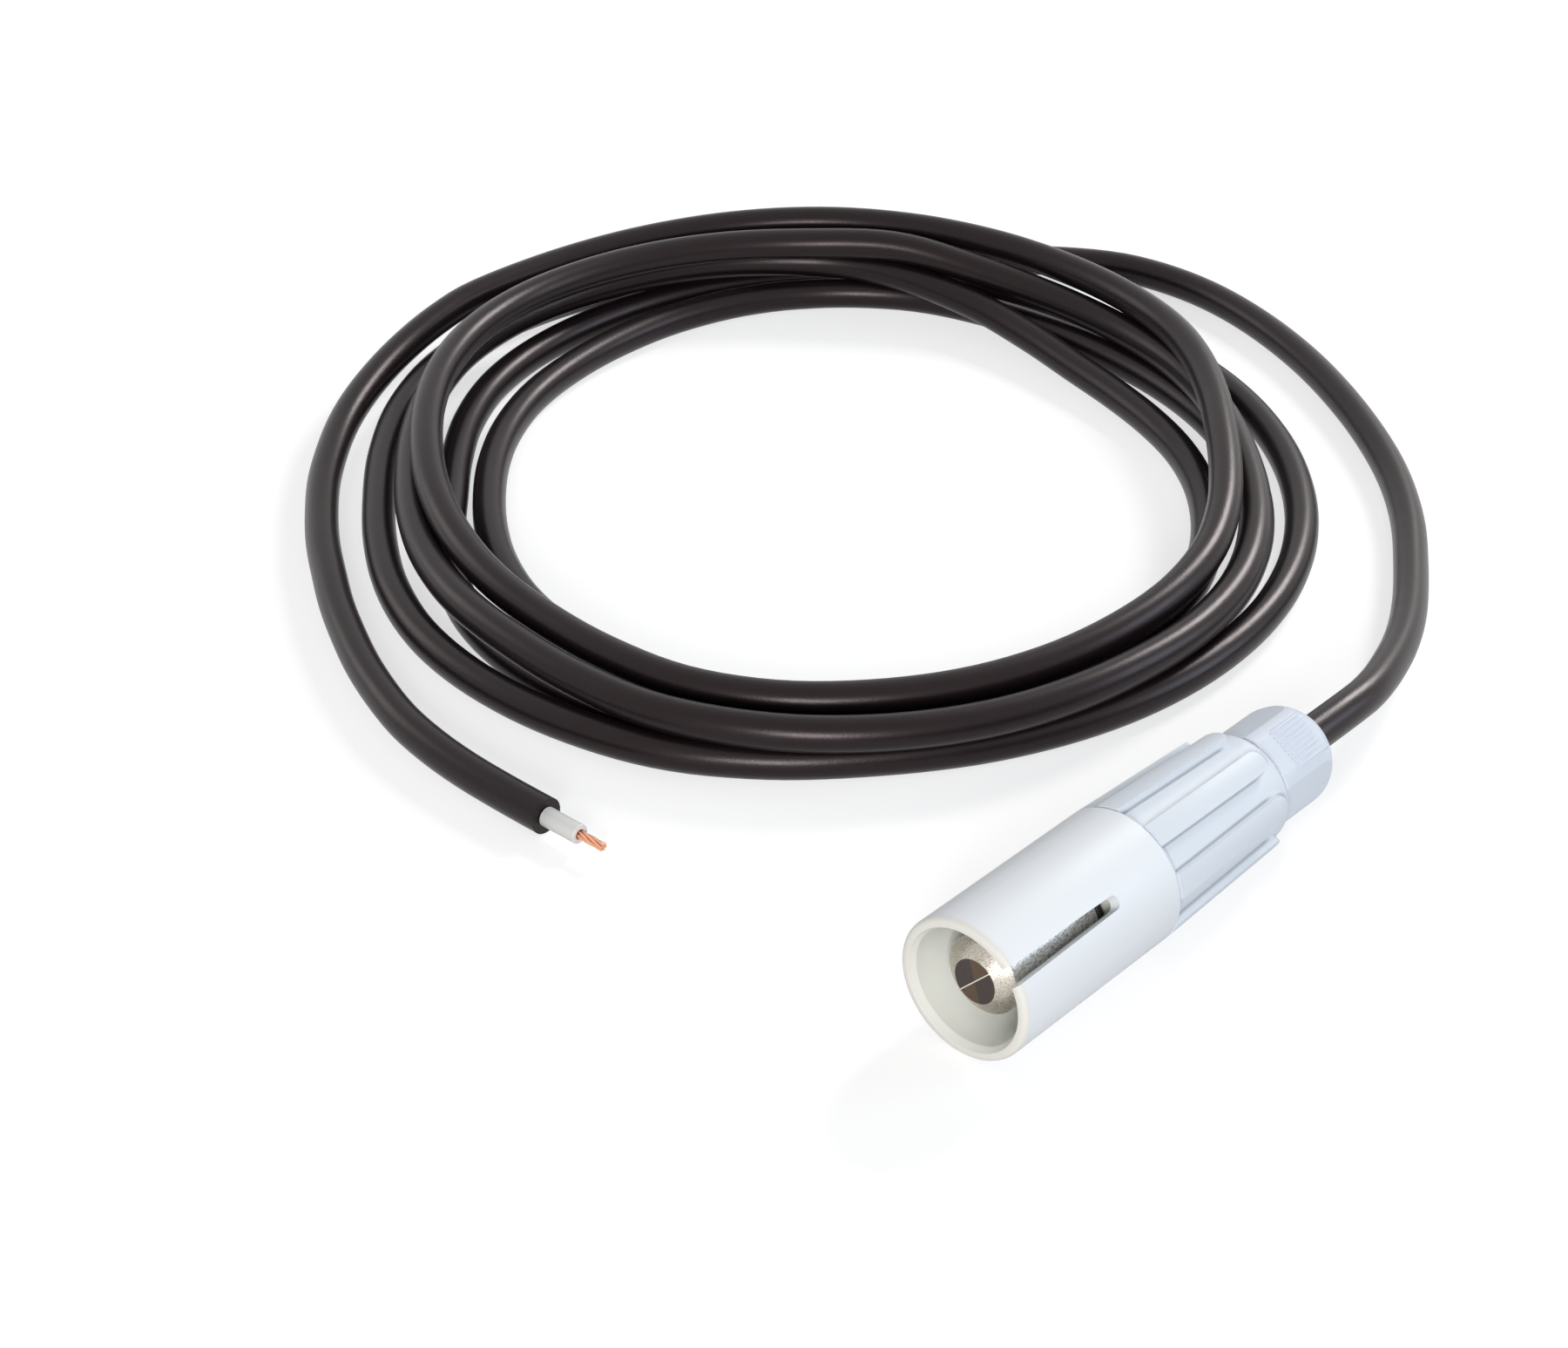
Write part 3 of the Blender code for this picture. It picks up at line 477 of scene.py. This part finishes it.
for index in range(RIBS):
    one_rib = copy_of(rib, f"rib_{index}")
    turn_about_axis(one_rib, facing(FIRST_RIB_FACES + 360 / RIBS * index))
    combine(grip, one_rib, "UNION")
bpy.data.objects.remove(rib)
lay_down(grip, ["ribbed_grip"], "cable_side")

# %% [markdown]
# ## The gland nut
# The nut is a hexagon with a dome, so a hexagon bar is trimmed by a domed round body, and its
# edges are eased as a mould leaves them.

# %% Make the nut's body
NUT_FLATS, NUT_ROUND = 15.0, 8.1
NUT_FOOT, NUT_TOP = 66.3, 82.0
DOME_FILLET = 5.6
deselect_all()
bpy.ops.mesh.primitive_cylinder_add(vertices=6,
                                    radius=NUT_FLATS / 2 / math.cos(math.pi / 6) * MM,
                                    depth=(NUT_TOP - NUT_FOOT) * MM,
                                    location=(0, 0, (NUT_TOP + NUT_FOOT) / 2 * MM))
nut = bpy.context.active_object
nut.name = nut.data.name = "nut"
bpy.ops.object.transform_apply(location=True, rotation=True, scale=True)
dome_outline = rounded(((0.5, NUT_FOOT, 0), (NUT_ROUND, NUT_FOOT, 0.6),
                        (NUT_ROUND, NUT_TOP, DOME_FILLET), (0.5, NUT_TOP, 0)), steps=14)
combine(nut, turned("nut_dome", dome_outline, hollow=False), "INTERSECT")
ease_edges(nut, 0.4 * MM, segments=4, above=14)
print("nut body", len(nut.data.polygons), "faces")

# %% [markdown]
# ## The nut's ridges and its bore
# Two opposite faces carry fine ridges that run up on to the dome, for grip. One ridge is shaped,
# trimmed by a round body so that it fades out at the dome, and copied in a row. The row and its
# copy on the other side are joined to the nut, and the bore is cut last.

# %% Add the ridges and cut the bore
NUT_FACES = 123
RIDGES, RIDGE_PITCH = 9, 0.8
RIDGE_HALF, RIDGE_HEIGHT = 0.21, 0.24
RIDGE_START, RIDGE_FADES, RIDGE_END = 70.5, 75.4, 78.6
ridge = slab("ridge", (6.5, -RIDGE_HALF, RIDGE_START),
             (NUT_FLATS / 2 + RIDGE_HEIGHT, RIDGE_HALF, RIDGE_END))
fade_radius = NUT_ROUND * MM + RIDGE_HEIGHT * MM
fade_outline = [(fade_radius, NUT_FOOT * MM), (fade_radius, RIDGE_FADES * MM),
                (7.2 * MM, RIDGE_END * MM)]
combine(ridge, turned("fade", fade_outline, hollow=False), "INTERSECT")
ease_edges(ridge, 0.12 * MM, segments=3, above=50)
row = []
for index in range(RIDGES):
    one_ridge = copy_of(ridge, f"ridge_{index}")
    one_ridge.location.y = (index - (RIDGES - 1) / 2) * RIDGE_PITCH * MM
    row.append(one_ridge)
bpy.data.objects.remove(ridge)
deselect_all()
for one_ridge in row:
    one_ridge.select_set(True)
ridges = bpy.context.view_layer.objects.active = row[0]
bpy.ops.object.transform_apply(location=True, rotation=True, scale=True)
bpy.ops.object.join()
far_ridges = copy_of(ridges, "far_ridges")
turn_about_axis(far_ridges, math.pi)
combine(nut, ridges, "UNION")
combine(nut, far_ridges, "UNION")
bore_outline = rounded(((6.4, 60.0, 0), (6.4, 75.8, 0), (4.9, 78.8, 0), (3.4, 79.1, 0),
                        (3.4, 81.2, 0), (3.75, 90.0, 0)))
combine(nut, turned("bore", bore_outline, hollow=False), "DIFFERENCE")
turn_about_axis(nut, facing(NUT_FACES))
lay_down(nut, ["gland_nut"], "gland_cap")

# %% [markdown]
# ## The stripped end
# The far end of the cable is stripped for a terminal: a short length of the white core stands out
# of the cut jacket. It is made standing, like the probe's pieces, and laid on the cable's end.

# %% Make the core
end_point = Vector(centreline[-1])
end_way = (Vector(centreline[-1]) - Vector(centreline[-2])).normalized()


def lay_at_end(piece, replaces):
    """Lays a standing piece on the cable's end, with its foot just clear of the cut jacket."""
    make_active(piece)
    piece.rotation_mode = "QUATERNION"
    piece.rotation_quaternion = end_way.to_track_quat("Z", "Y")
    piece.location = end_point
    bpy.ops.object.transform_apply(location=True, rotation=True, scale=True)
    bpy.ops.object.shade_smooth_by_angle(angle=math.radians(35))
    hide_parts(replaces)
    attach(piece, "cable_side")
    print(piece.name, len(piece.data.polygons), "faces")


core_outline = rounded(((1.0, 0.1, 0), (1.6, 0.1, 0.1), (1.6, 7.3, 0.25), (0.85, 7.3, 0.05),
                        (0.85, 5.0, 0), (0.4, 5.0, 0)), steps=3)
end_core = turned("end_core", core_outline, hollow=False, sides=48)
lay_at_end(end_core, "end_core_insulation")

# %% [markdown]
# ## The copper strands
# Seven twisted strands leave the core, one in the middle and six round it. Each is a curve with a
# round bevel, and all are made one mesh.

# %% Twist the strands
STRAND_RADIUS, LAY_RADIUS = 0.24, 0.5
STRANDS = ((0, 0), *((LAY_RADIUS, k * math.tau / 6) for k in range(6)))
TWIST_PER_MM = 0.42
strand_heights = np.linspace(5.2, 12.2, 24)
strand_pieces = []
for number, (out, start_angle) in enumerate(STRANDS):
    curve = bpy.data.curves.new(f"strand_{number}", "CURVE")
    curve.dimensions = "3D"
    curve.bevel_depth = STRAND_RADIUS * MM
    curve.bevel_resolution = 3
    curve.use_fill_caps = True
    line = curve.splines.new("POLY")
    line.points.add(len(strand_heights) - 1)
    for place, height in zip(line.points, strand_heights):
        angle = start_angle + (height - strand_heights[0]) * TWIST_PER_MM
        place.co = (out * math.cos(angle) * MM, out * math.sin(angle) * MM, height * MM, 1)
    strand = bpy.data.objects.new(f"strand_{number}", curve)
    bpy.context.scene.collection.objects.link(strand)
    strand_pieces.append(strand)
deselect_all()
for strand in strand_pieces:
    strand.select_set(True)
bpy.context.view_layer.objects.active = strand_pieces[0]
bpy.ops.object.convert(target="MESH")
bpy.ops.object.join()
end_strands = bpy.context.active_object
end_strands.name = end_strands.data.name = "end_strands"
lay_at_end(end_strands, "end_conductor")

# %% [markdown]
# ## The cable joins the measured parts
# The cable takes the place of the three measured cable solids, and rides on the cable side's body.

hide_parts("cable_lead", "cable_coil", "cable_tail")
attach(cable, "cable_side")

# %% [markdown]
# ## Shader maths as plain sums
# Finishes are worked out from the position on a piece. A small class wraps a shader value, so that
# a sum written in Python adds the Math nodes it needs.


# %% A reading that can be added and multiplied
class Reading:
    """A number or a colour that changes over a surface."""

    def __init__(self, nodes, socket):
        self.nodes = nodes
        self.socket = socket

    def maths(self, operation, first, second=0.0):
        """Any Math node, on two readings or numbers."""
        return self.nodes.node("ShaderNodeMath", {"operation": operation}, {0: first, 1: second})

    def __add__(self, other):
        return self.maths("ADD", self, other)

    def __sub__(self, other):
        return self.maths("SUBTRACT", self, other)

    def __mul__(self, other):
        return self.maths("MULTIPLY", self, other)

    def __rsub__(self, other):
        return self.maths("SUBTRACT", other, self)

    __radd__ = __add__
    __rmul__ = __mul__

    def between(self, low, high):
        """0 below low, 1 above high, with a soft step between them."""
        return self.nodes.node("ShaderNodeMapRange", {"interpolation_type": "SMOOTHSTEP"},
                               {"Value": self, "From Min": low, "From Max": high})


# %% [markdown]
# ## Any other node
# One method adds every other kind of node: it takes the node's type, its settings and the values or
# links of its sockets. The world's light uses this class too.


# %% A node tree that is filled from Python
class Nodes:
    """A node tree that is filled from Python."""

    def __init__(self, tree):
        self.tree = tree

    def give(self, socket, value):
        """Gives a socket a constant or a reading."""
        if isinstance(value, Reading):
            self.tree.links.new(value.socket, socket)
        elif isinstance(value, tuple) and len(value) == 3 and socket.type == "RGBA":
            socket.default_value = (*value, 1)
        else:
            socket.default_value = value

    def node(self, kind, settings=(), values=(), output=0):
        """Adds any node: its settings first, then the values or links of its sockets."""
        made = self.tree.nodes.new(kind)
        for name, value in dict(settings).items():
            setattr(made, name, value)
        for name, value in dict(values).items():
            self.give(made.inputs[name], value)
        return Reading(self, made.outputs[output])

    def blend(self, share, first, second):
        """A colour from first to second."""
        return self.node("ShaderNodeMix", {"data_type": "RGBA"},
                         {0: share, 6: first, 7: second}, output=2)

    def seen(self):
        """1 where the camera looks, straight or by way of metal or glass, and 0 for other light."""
        camera_ray, glossy_ray, clear_ray = (
            self.node("ShaderNodeLightPath", output=name)
            for name in ("Is Camera Ray", "Is Glossy Ray", "Is Transmission Ray"))
        either = camera_ray.maths("MAXIMUM", camera_ray, glossy_ray)
        return either.maths("MAXIMUM", either, clear_ray)


# %% [markdown]
# ## A finish
# A finish is one Principled material. What is the same all over the piece is set on the shader's
# own sockets. What changes comes from Object coordinates, which stay with the piece when it moves.


# %% A material that reads its place on the piece
AXIS_MM = AXIS_HEIGHT / MM


class Finish(Nodes):
    """A Principled material, its constants set on its own sockets."""

    def __init__(self, name, colour, roughness, metallic=0.0, **constants):
        self.material = bpy.data.materials.new(name)
        self.material.use_nodes = True
        super().__init__(self.material.node_tree)
        self.shader = self.tree.nodes["Principled BSDF"]
        self.set("Base Color", colour)
        self.set("Roughness", roughness)
        self.set("Metallic", metallic)
        for socket, value in constants.items():
            self.set(socket.replace("_", " "), value)

    def set(self, socket, value):
        """Gives a socket of the shader a constant or a reading."""
        self.give(self.shader.inputs[socket], value)

    def position(self):
        """The place on the piece, in metres."""
        return self.node("ShaderNodeTexCoord", output="Object")

    def along(self, axis):
        """The position along one axis, in millimetres."""
        return self.node("ShaderNodeSeparateXYZ", values={0: self.position()}, output=axis) * 1000

    def from_axis(self):
        """The distance from the probe's own axis, in millimetres."""
        flat = self.node("ShaderNodeVectorMath", {"operation": "MULTIPLY_ADD"},
                         {0: self.position(), 1: (0, 1000, 1000), 2: (0, 0, -AXIS_MM)})
        return self.node("ShaderNodeVectorMath", {"operation": "LENGTH"}, {0: flat}, output="Value")

    def noise(self, per_metre, detail=3.0, stretch=(1, 1, 1)):
        """Cloudy noise from 0 to 1, with this many lumps in a metre."""
        where = self.node("ShaderNodeVectorMath", {"operation": "MULTIPLY"},
                          {0: self.position(), 1: stretch})
        return self.node("ShaderNodeTexNoise",
                         values={"Vector": where, "Scale": per_metre, "Detail": detail})

    def specks(self, per_metre, size, share):
        """1 on small round specks: at most one in a cell, and only in this share of the cells."""
        cells = self.node("ShaderNodeTexVoronoi",
                          values={"Vector": self.position(), "Scale": per_metre})
        picked = self.node("ShaderNodeSeparateColor",
                           values={0: Reading(self, cells.socket.node.outputs["Color"])})
        return (1 - cells.between(size * 0.7, size)) * (1 - picked.between(share, share + 0.001))

    def bump(self, height, distance):
        """Raises the surface by a height of 0 to 1, over this distance in metres."""
        self.set("Normal", self.node("ShaderNodeBump", values={
            "Height": height, "Distance": distance, "Strength": 1.0}))

    def paint(self, *pieces):
        """Gives pieces this finish alone."""
        for piece in pieces:
            piece.data.materials.clear()
            piece.data.materials.append(self.material)
        print(self.material.name, "on", ", ".join(piece.name for piece in pieces))


# %% [markdown]
# ## White moulded plastic
# A moulded face is never quite even, so a faint slow noise changes its gloss, very shallow waves
# bend its reflections, and a few small dark specks sit in it. All the probe's plastic shares this.

# %% What all the plastic shares
SPECK = (0.35, 0.34, 0.33)
SPECKS_PER_METRE, SPECK_SIZE, SPECK_SHARE = 230, 0.035, 0.05
SKIN_DEPTH = 0.02 * MM


def white_plastic(name, base):
    """The plastic's uneven gloss, and readings of its specks and of its very shallow waves."""
    finish = Finish(name, base, 0.45, Specular_IOR_Level=0.4)
    finish.set("Roughness", 0.42 + 0.12 * finish.noise(160))
    specks = finish.specks(SPECKS_PER_METRE, SPECK_SIZE, SPECK_SHARE)
    waves = finish.noise(900, detail=2.0) * 0.4 + finish.noise(90) * 0.6
    return finish, specks, waves


# %% [markdown]
# ## The skirt's finish
# The skirt is a bluish white. Inside the mouth and on the rim it is a little warmer and greyer.
# Where the two halves of its mould met, a hair line runs along its top.

# %% Finish the skirt
WHITE = (0.80, 0.83, 0.86)
WARM_WHITE = (0.78, 0.765, 0.71)
INSIDE_WHITE = (0.80, 0.81, 0.76)
SEAM_FACES, SEAM_WIDTH = math.radians(75), (0.04, 0.10)
WALL_INSIDE, RIM_END = (9.2, 9.7), (-40.8, -39.6)
skirt_finish, skirt_specks, skirt_waves = white_plastic("skirt_plastic", WHITE)
across, up = skirt_finish.along(1), skirt_finish.along(2) - AXIS_MM
off_seam = up.maths("ABSOLUTE", up * math.cos(SEAM_FACES) - across * math.sin(SEAM_FACES))
on_seam = (1 - off_seam.between(*SEAM_WIDTH)) * up.between(0, 1)
inside = 1 - skirt_finish.from_axis().between(*WALL_INSIDE)
at_rim = 1 - skirt_finish.along(0).between(*RIM_END)
colour = skirt_finish.blend(at_rim, WHITE, WARM_WHITE)
colour = skirt_finish.blend(inside, colour, INSIDE_WHITE)
skirt_finish.set("Base Color", skirt_finish.blend(skirt_specks, colour, SPECK))
skirt_finish.bump(skirt_waves + on_seam, SKIN_DEPTH)
skirt_finish.paint(skirt)

# %% [markdown]
# ## The grip's finish
# The grip is the same plastic, and painted shade darkens the foot of each rib. The angle from the
# nearest rib's middle comes from a ping-pong of the bearing, so one sum serves all the ribs.

# %% Finish the grip
GRIP_WHITE = (0.70, 0.75, 0.81)
RIB_FOOT_SHADE = (0.42, 0.45, 0.49)
BODY_RADIUS_AT_MIDDLE, BODY_TAPER = 9.64, 0.032
SHADE_STARTS, SHADE_ENDS, SHADE_HEIGHT = (1.65, 1.85), (1.9, 2.25), (0.1, 0.6)
RIB_ENDS = (18.5, 20.8)
grip_finish, grip_specks, grip_waves = white_plastic("grip_plastic", GRIP_WHITE)
across, up = grip_finish.along(1), grip_finish.along(2) - AXIS_MM
bearing = up.maths("ARCTAN2", up, across) - math.radians(FIRST_RIB_FACES)
off_rib = bearing.maths("PINGPONG", bearing, math.pi / RIBS)
beside = grip_finish.from_axis() * off_rib.maths("SINE", off_rib)
raised = grip_finish.from_axis() - BODY_RADIUS_AT_MIDDLE + grip_finish.along(0) * BODY_TAPER
# Painted shade: the base colour is darkened in a narrow band at the foot of each rib.
painted_shade = beside.between(*SHADE_STARTS) * (1 - beside.between(*SHADE_ENDS))
painted_shade = painted_shade * (1 - raised.between(*SHADE_HEIGHT))
along_rib = 1 - grip_finish.along(0).between(*RIB_ENDS)
colour = grip_finish.blend(painted_shade * along_rib, GRIP_WHITE, RIB_FOOT_SHADE)
grip_finish.set("Base Color", grip_finish.blend(grip_specks, colour, SPECK))
grip_finish.bump(grip_waves, SKIN_DEPTH)
grip_finish.paint(grip)

# %% [markdown]
# ## The nut's plastic
# The nut is a second moulding in nearly the same white, slightly bluer.

# %% Finish the nut
NUT_WHITE = (0.68, 0.73, 0.81)
nut_finish, nut_specks, nut_waves = white_plastic("nut_plastic", NUT_WHITE)
nut_finish.set("Base Color", nut_finish.blend(nut_specks, NUT_WHITE, SPECK))
nut_finish.bump(nut_waves, SKIN_DEPTH)
nut_finish.paint(nut)

# %% [markdown]
# ## Turned steel
# The rod has a fine drawn grain and a speckled, slightly uneven shine. Its end face is darker and
# browner. Fine rings on a faced end spread each reflection into a wedge or a ray that crosses the
# middle, and such close rings are too small to trace, so the wedges and the ray are painted
# reflections: lighter wedges and one bright line in the face's colour.
# Behind the cone the skin is pitted, neutral in colour and speckled, and it scatters light, so it
# is set a little less metallic.

# %% Finish the electrode
STEEL, DULL_STEEL = (0.64, 0.60, 0.53), (0.38, 0.34, 0.29)
PITTED_LIGHT, PITTED_DARK = (0.82, 0.83, 0.83), (0.40, 0.39, 0.37)
FACED_STEEL, LIT_STEEL = (0.075, 0.060, 0.055), (0.12, 0.082, 0.058)
PAINTED_RAY = (0.80, 0.74, 0.66)
PAINTED_RAY_ANGLE, LIT_MIDDLE = math.radians(133.6), math.radians(103.2)
FACE_END, CONE_END = (-38.27, -38.2), (-36.6, -36.2)
LIT_EDGE, PAINTED_RAY_WIDTH = (0.44, 0.54), (0.04, 0.11)
GRAIN_DEPTH = 0.004 * MM
steel = Finish("turned_steel", STEEL, 0.30, 1.0)
on_face = 1 - steel.along(0).between(*FACE_END)
behind_cone = steel.along(0).between(*CONE_END)
grain = steel.noise(6000, detail=2.0, stretch=(0.3, 1, 1)).between(0.3, 0.7)
across, up = steel.along(1), steel.along(2) - AXIS_MM
bearing = up.maths("ARCTAN2", up, across)
# Painted reflections on the end face: two lighter wedges and one bright ray across the middle.
lit_share = up.maths("COSINE", (bearing - LIT_MIDDLE) * 2).between(*LIT_EDGE)
off_painted_ray = up.maths("ABSOLUTE", up * math.cos(PAINTED_RAY_ANGLE) - across * math.sin(PAINTED_RAY_ANGLE))
faced = steel.blend(lit_share, FACED_STEEL, LIT_STEEL)
faced = steel.blend(1 - off_painted_ray.between(*PAINTED_RAY_WIDTH), faced, PAINTED_RAY)
turned_skin = steel.blend(grain, DULL_STEEL, STEEL)
pitted_skin = steel.blend(grain, PITTED_DARK, PITTED_LIGHT)
skin = steel.blend(behind_cone, turned_skin, pitted_skin)
steel.set("Base Color", steel.blend(on_face, skin, faced))
steel.set("Roughness", 0.26 + 0.14 * grain)
steel.set("Metallic", 1 - 0.55 * behind_cone)
steel.bump((1 - on_face) * grain, GRAIN_DEPTH)
steel.paint(electrode)

# %% [markdown]
# ## Black rubber, and the cable's jacket
# The sealing ring is plain matt rubber. The jacket is a brownish black with a soft shine and a
# fine grain from the extruder.

# %% Finish the rubber and the jacket
rubber = Finish("ring_rubber", (0.012, 0.012, 0.012), 0.55)
rubber.paint(tip_ring)
JACKET_DARK, JACKET_LIGHT = (0.0055, 0.0030, 0.0036), (0.0095, 0.0060, 0.0066)
BROWN_SHINE = (1, 0.86, 0.88)
JACKET_GRAIN_DEPTH = 0.02 * MM
jacket = Finish("cable_jacket", JACKET_DARK, 0.32, Specular_IOR_Level=0.27,
                Specular_Tint=BROWN_SHINE)
jacket.set("Roughness", 0.28 + 0.08 * jacket.noise(300))
jacket.set("Base Color", jacket.blend(jacket.noise(1500, detail=2.0), JACKET_DARK, JACKET_LIGHT))
jacket.bump(jacket.noise(2600, detail=2.0), JACKET_GRAIN_DEPTH)
jacket.paint(cable)

# %% [markdown]
# ## The end's core and copper, and the hidden parts
# The measured solids that stay hidden inside keep simple finishes in their own colours, because
# the skirt's slot and a turned nut may show a little of them.


# %% Finish the small parts
def uneven(name, colour, roughness, rise, lumps_per_metre, metallic=0.0):
    """A plain finish whose gloss changes a little over the piece."""
    finish = Finish(name, colour, roughness, metallic)
    finish.set("Roughness", roughness + rise * finish.noise(lumps_per_metre))
    return finish


core_white = uneven("core_white", (0.70, 0.70, 0.68), 0.36, 0.14, 900)
bright_copper = uneven("bright_copper", (0.80, 0.42, 0.27), 0.22, 0.16, 2500, metallic=1.0)
small_steel = uneven("small_steel", (0.56, 0.55, 0.53), 0.24, 0.16, 1800, metallic=1.0)
small_brass = uneven("small_brass", (0.70, 0.52, 0.25), 0.24, 0.16, 1800, metallic=1.0)
cage_grey = uneven("cage_grey", (0.5, 0.51, 0.52), 0.4, 0.14, 900)
matt_rubber = uneven("matt_rubber", (0.016, 0.016, 0.016), 0.52, 0.16, 900)
core_white.paint(end_core)
bright_copper.paint(end_strands)
for finish, names in (
    (small_steel, ("stud_washer", "spring_washer", "stud_lock_nut")),
    (small_brass, ("terminal_sleeve", "clamp_screw")),
    (bright_copper, ("conductor",)),
    (core_white, ("core_insulation",)),
    (matt_rubber, ("body_o_ring", "gland_seal")),
    (cage_grey, ("gland_cage",)),
):
    finish.paint(*(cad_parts[name] for name in names))

# %% [markdown]
# ## Floor and backdrop
# The floor is a plain pale sheet and the backdrop is white. What the camera sees of the floor is
# lifted to white, and the shadow stays on it. Further out, where the lamps don't reach, it is
# lifted more.

# %% Make the floor
NEAR_LIFT, FAR_LIFT = (0.66, 0.66, 0.66), (1, 1, 1)
deselect_all()
bpy.ops.mesh.primitive_plane_add(size=8, location=(0, 0, 0))
floor = bpy.context.active_object
floor.name = "floor"
floor_finish = Finish("floor", (0.45, 0.45, 0.45), 0.9)
away = floor_finish.node("ShaderNodeVectorMath", {"operation": "LENGTH"},
                         {0: floor_finish.position()}, output="Value")
lift = floor_finish.blend(away.between(0.3, 0.9), NEAR_LIFT, FAR_LIFT)
floor_finish.set("Emission Color", floor_finish.blend(floor_finish.seen(), (0, 0, 0), lift))
floor_finish.set("Emission Strength", 1.0)
floor_finish.paint(floor)

# %% [markdown]
# ## Light
# A soft lamp beside the camera lights the mouth, one behind gives the cable its long highlights, a
# cooler one fills from the right, and a weak one from the far side. The sky gives a low even light,
# and is white where the camera sees it.

# %% Light the scene
SKY_LIGHT = (0.21, 0.215, 0.225)
world = bpy.data.worlds.new("world")
bpy.context.scene.world = world
world.use_nodes = True
sky = Nodes(world.node_tree)
sky.give(world.node_tree.nodes["Background"].inputs["Color"],
         sky.blend(sky.seen(), SKY_LIGHT, (1, 1, 1)))


def soft_lamp(name, place, aim, size, power, colour):
    """A large area lamp that faces a point."""
    lamp_data = bpy.data.lights.new(name, "AREA")
    lamp_data.size = size
    lamp_data.energy = power
    lamp_data.color = colour
    lamp = bpy.data.objects.new(name, lamp_data)
    bpy.context.scene.collection.objects.link(lamp)
    lamp.location = place
    lamp.rotation_euler = (Vector(aim) - Vector(place)).to_track_quat("-Z", "Y").to_euler()
    print(name, power, "W")


WARM_LIGHT, COOL_LIGHT = (1, 0.98, 0.96), (0.70, 0.85, 1)
soft_lamp("front_lamp", (-0.73, -0.48, 0.38), (0.0, 0.0, 0.01), 0.28, 7.0, (1, 0.99, 0.98))
soft_lamp("back_lamp", (0.84, 0.12, 0.58), (0.05, 0.08, 0), 0.26, 5.4, WARM_LIGHT)
soft_lamp("cool_fill", (0.66, -0.62, 0.40), (0.02, 0.0, 0), 0.4, 2.2, COOL_LIGHT)
soft_lamp("far_fill", (-0.20, 1.00, 0.42), (0.03, 0.08, 0), 0.4, 1.1, WARM_LIGHT)
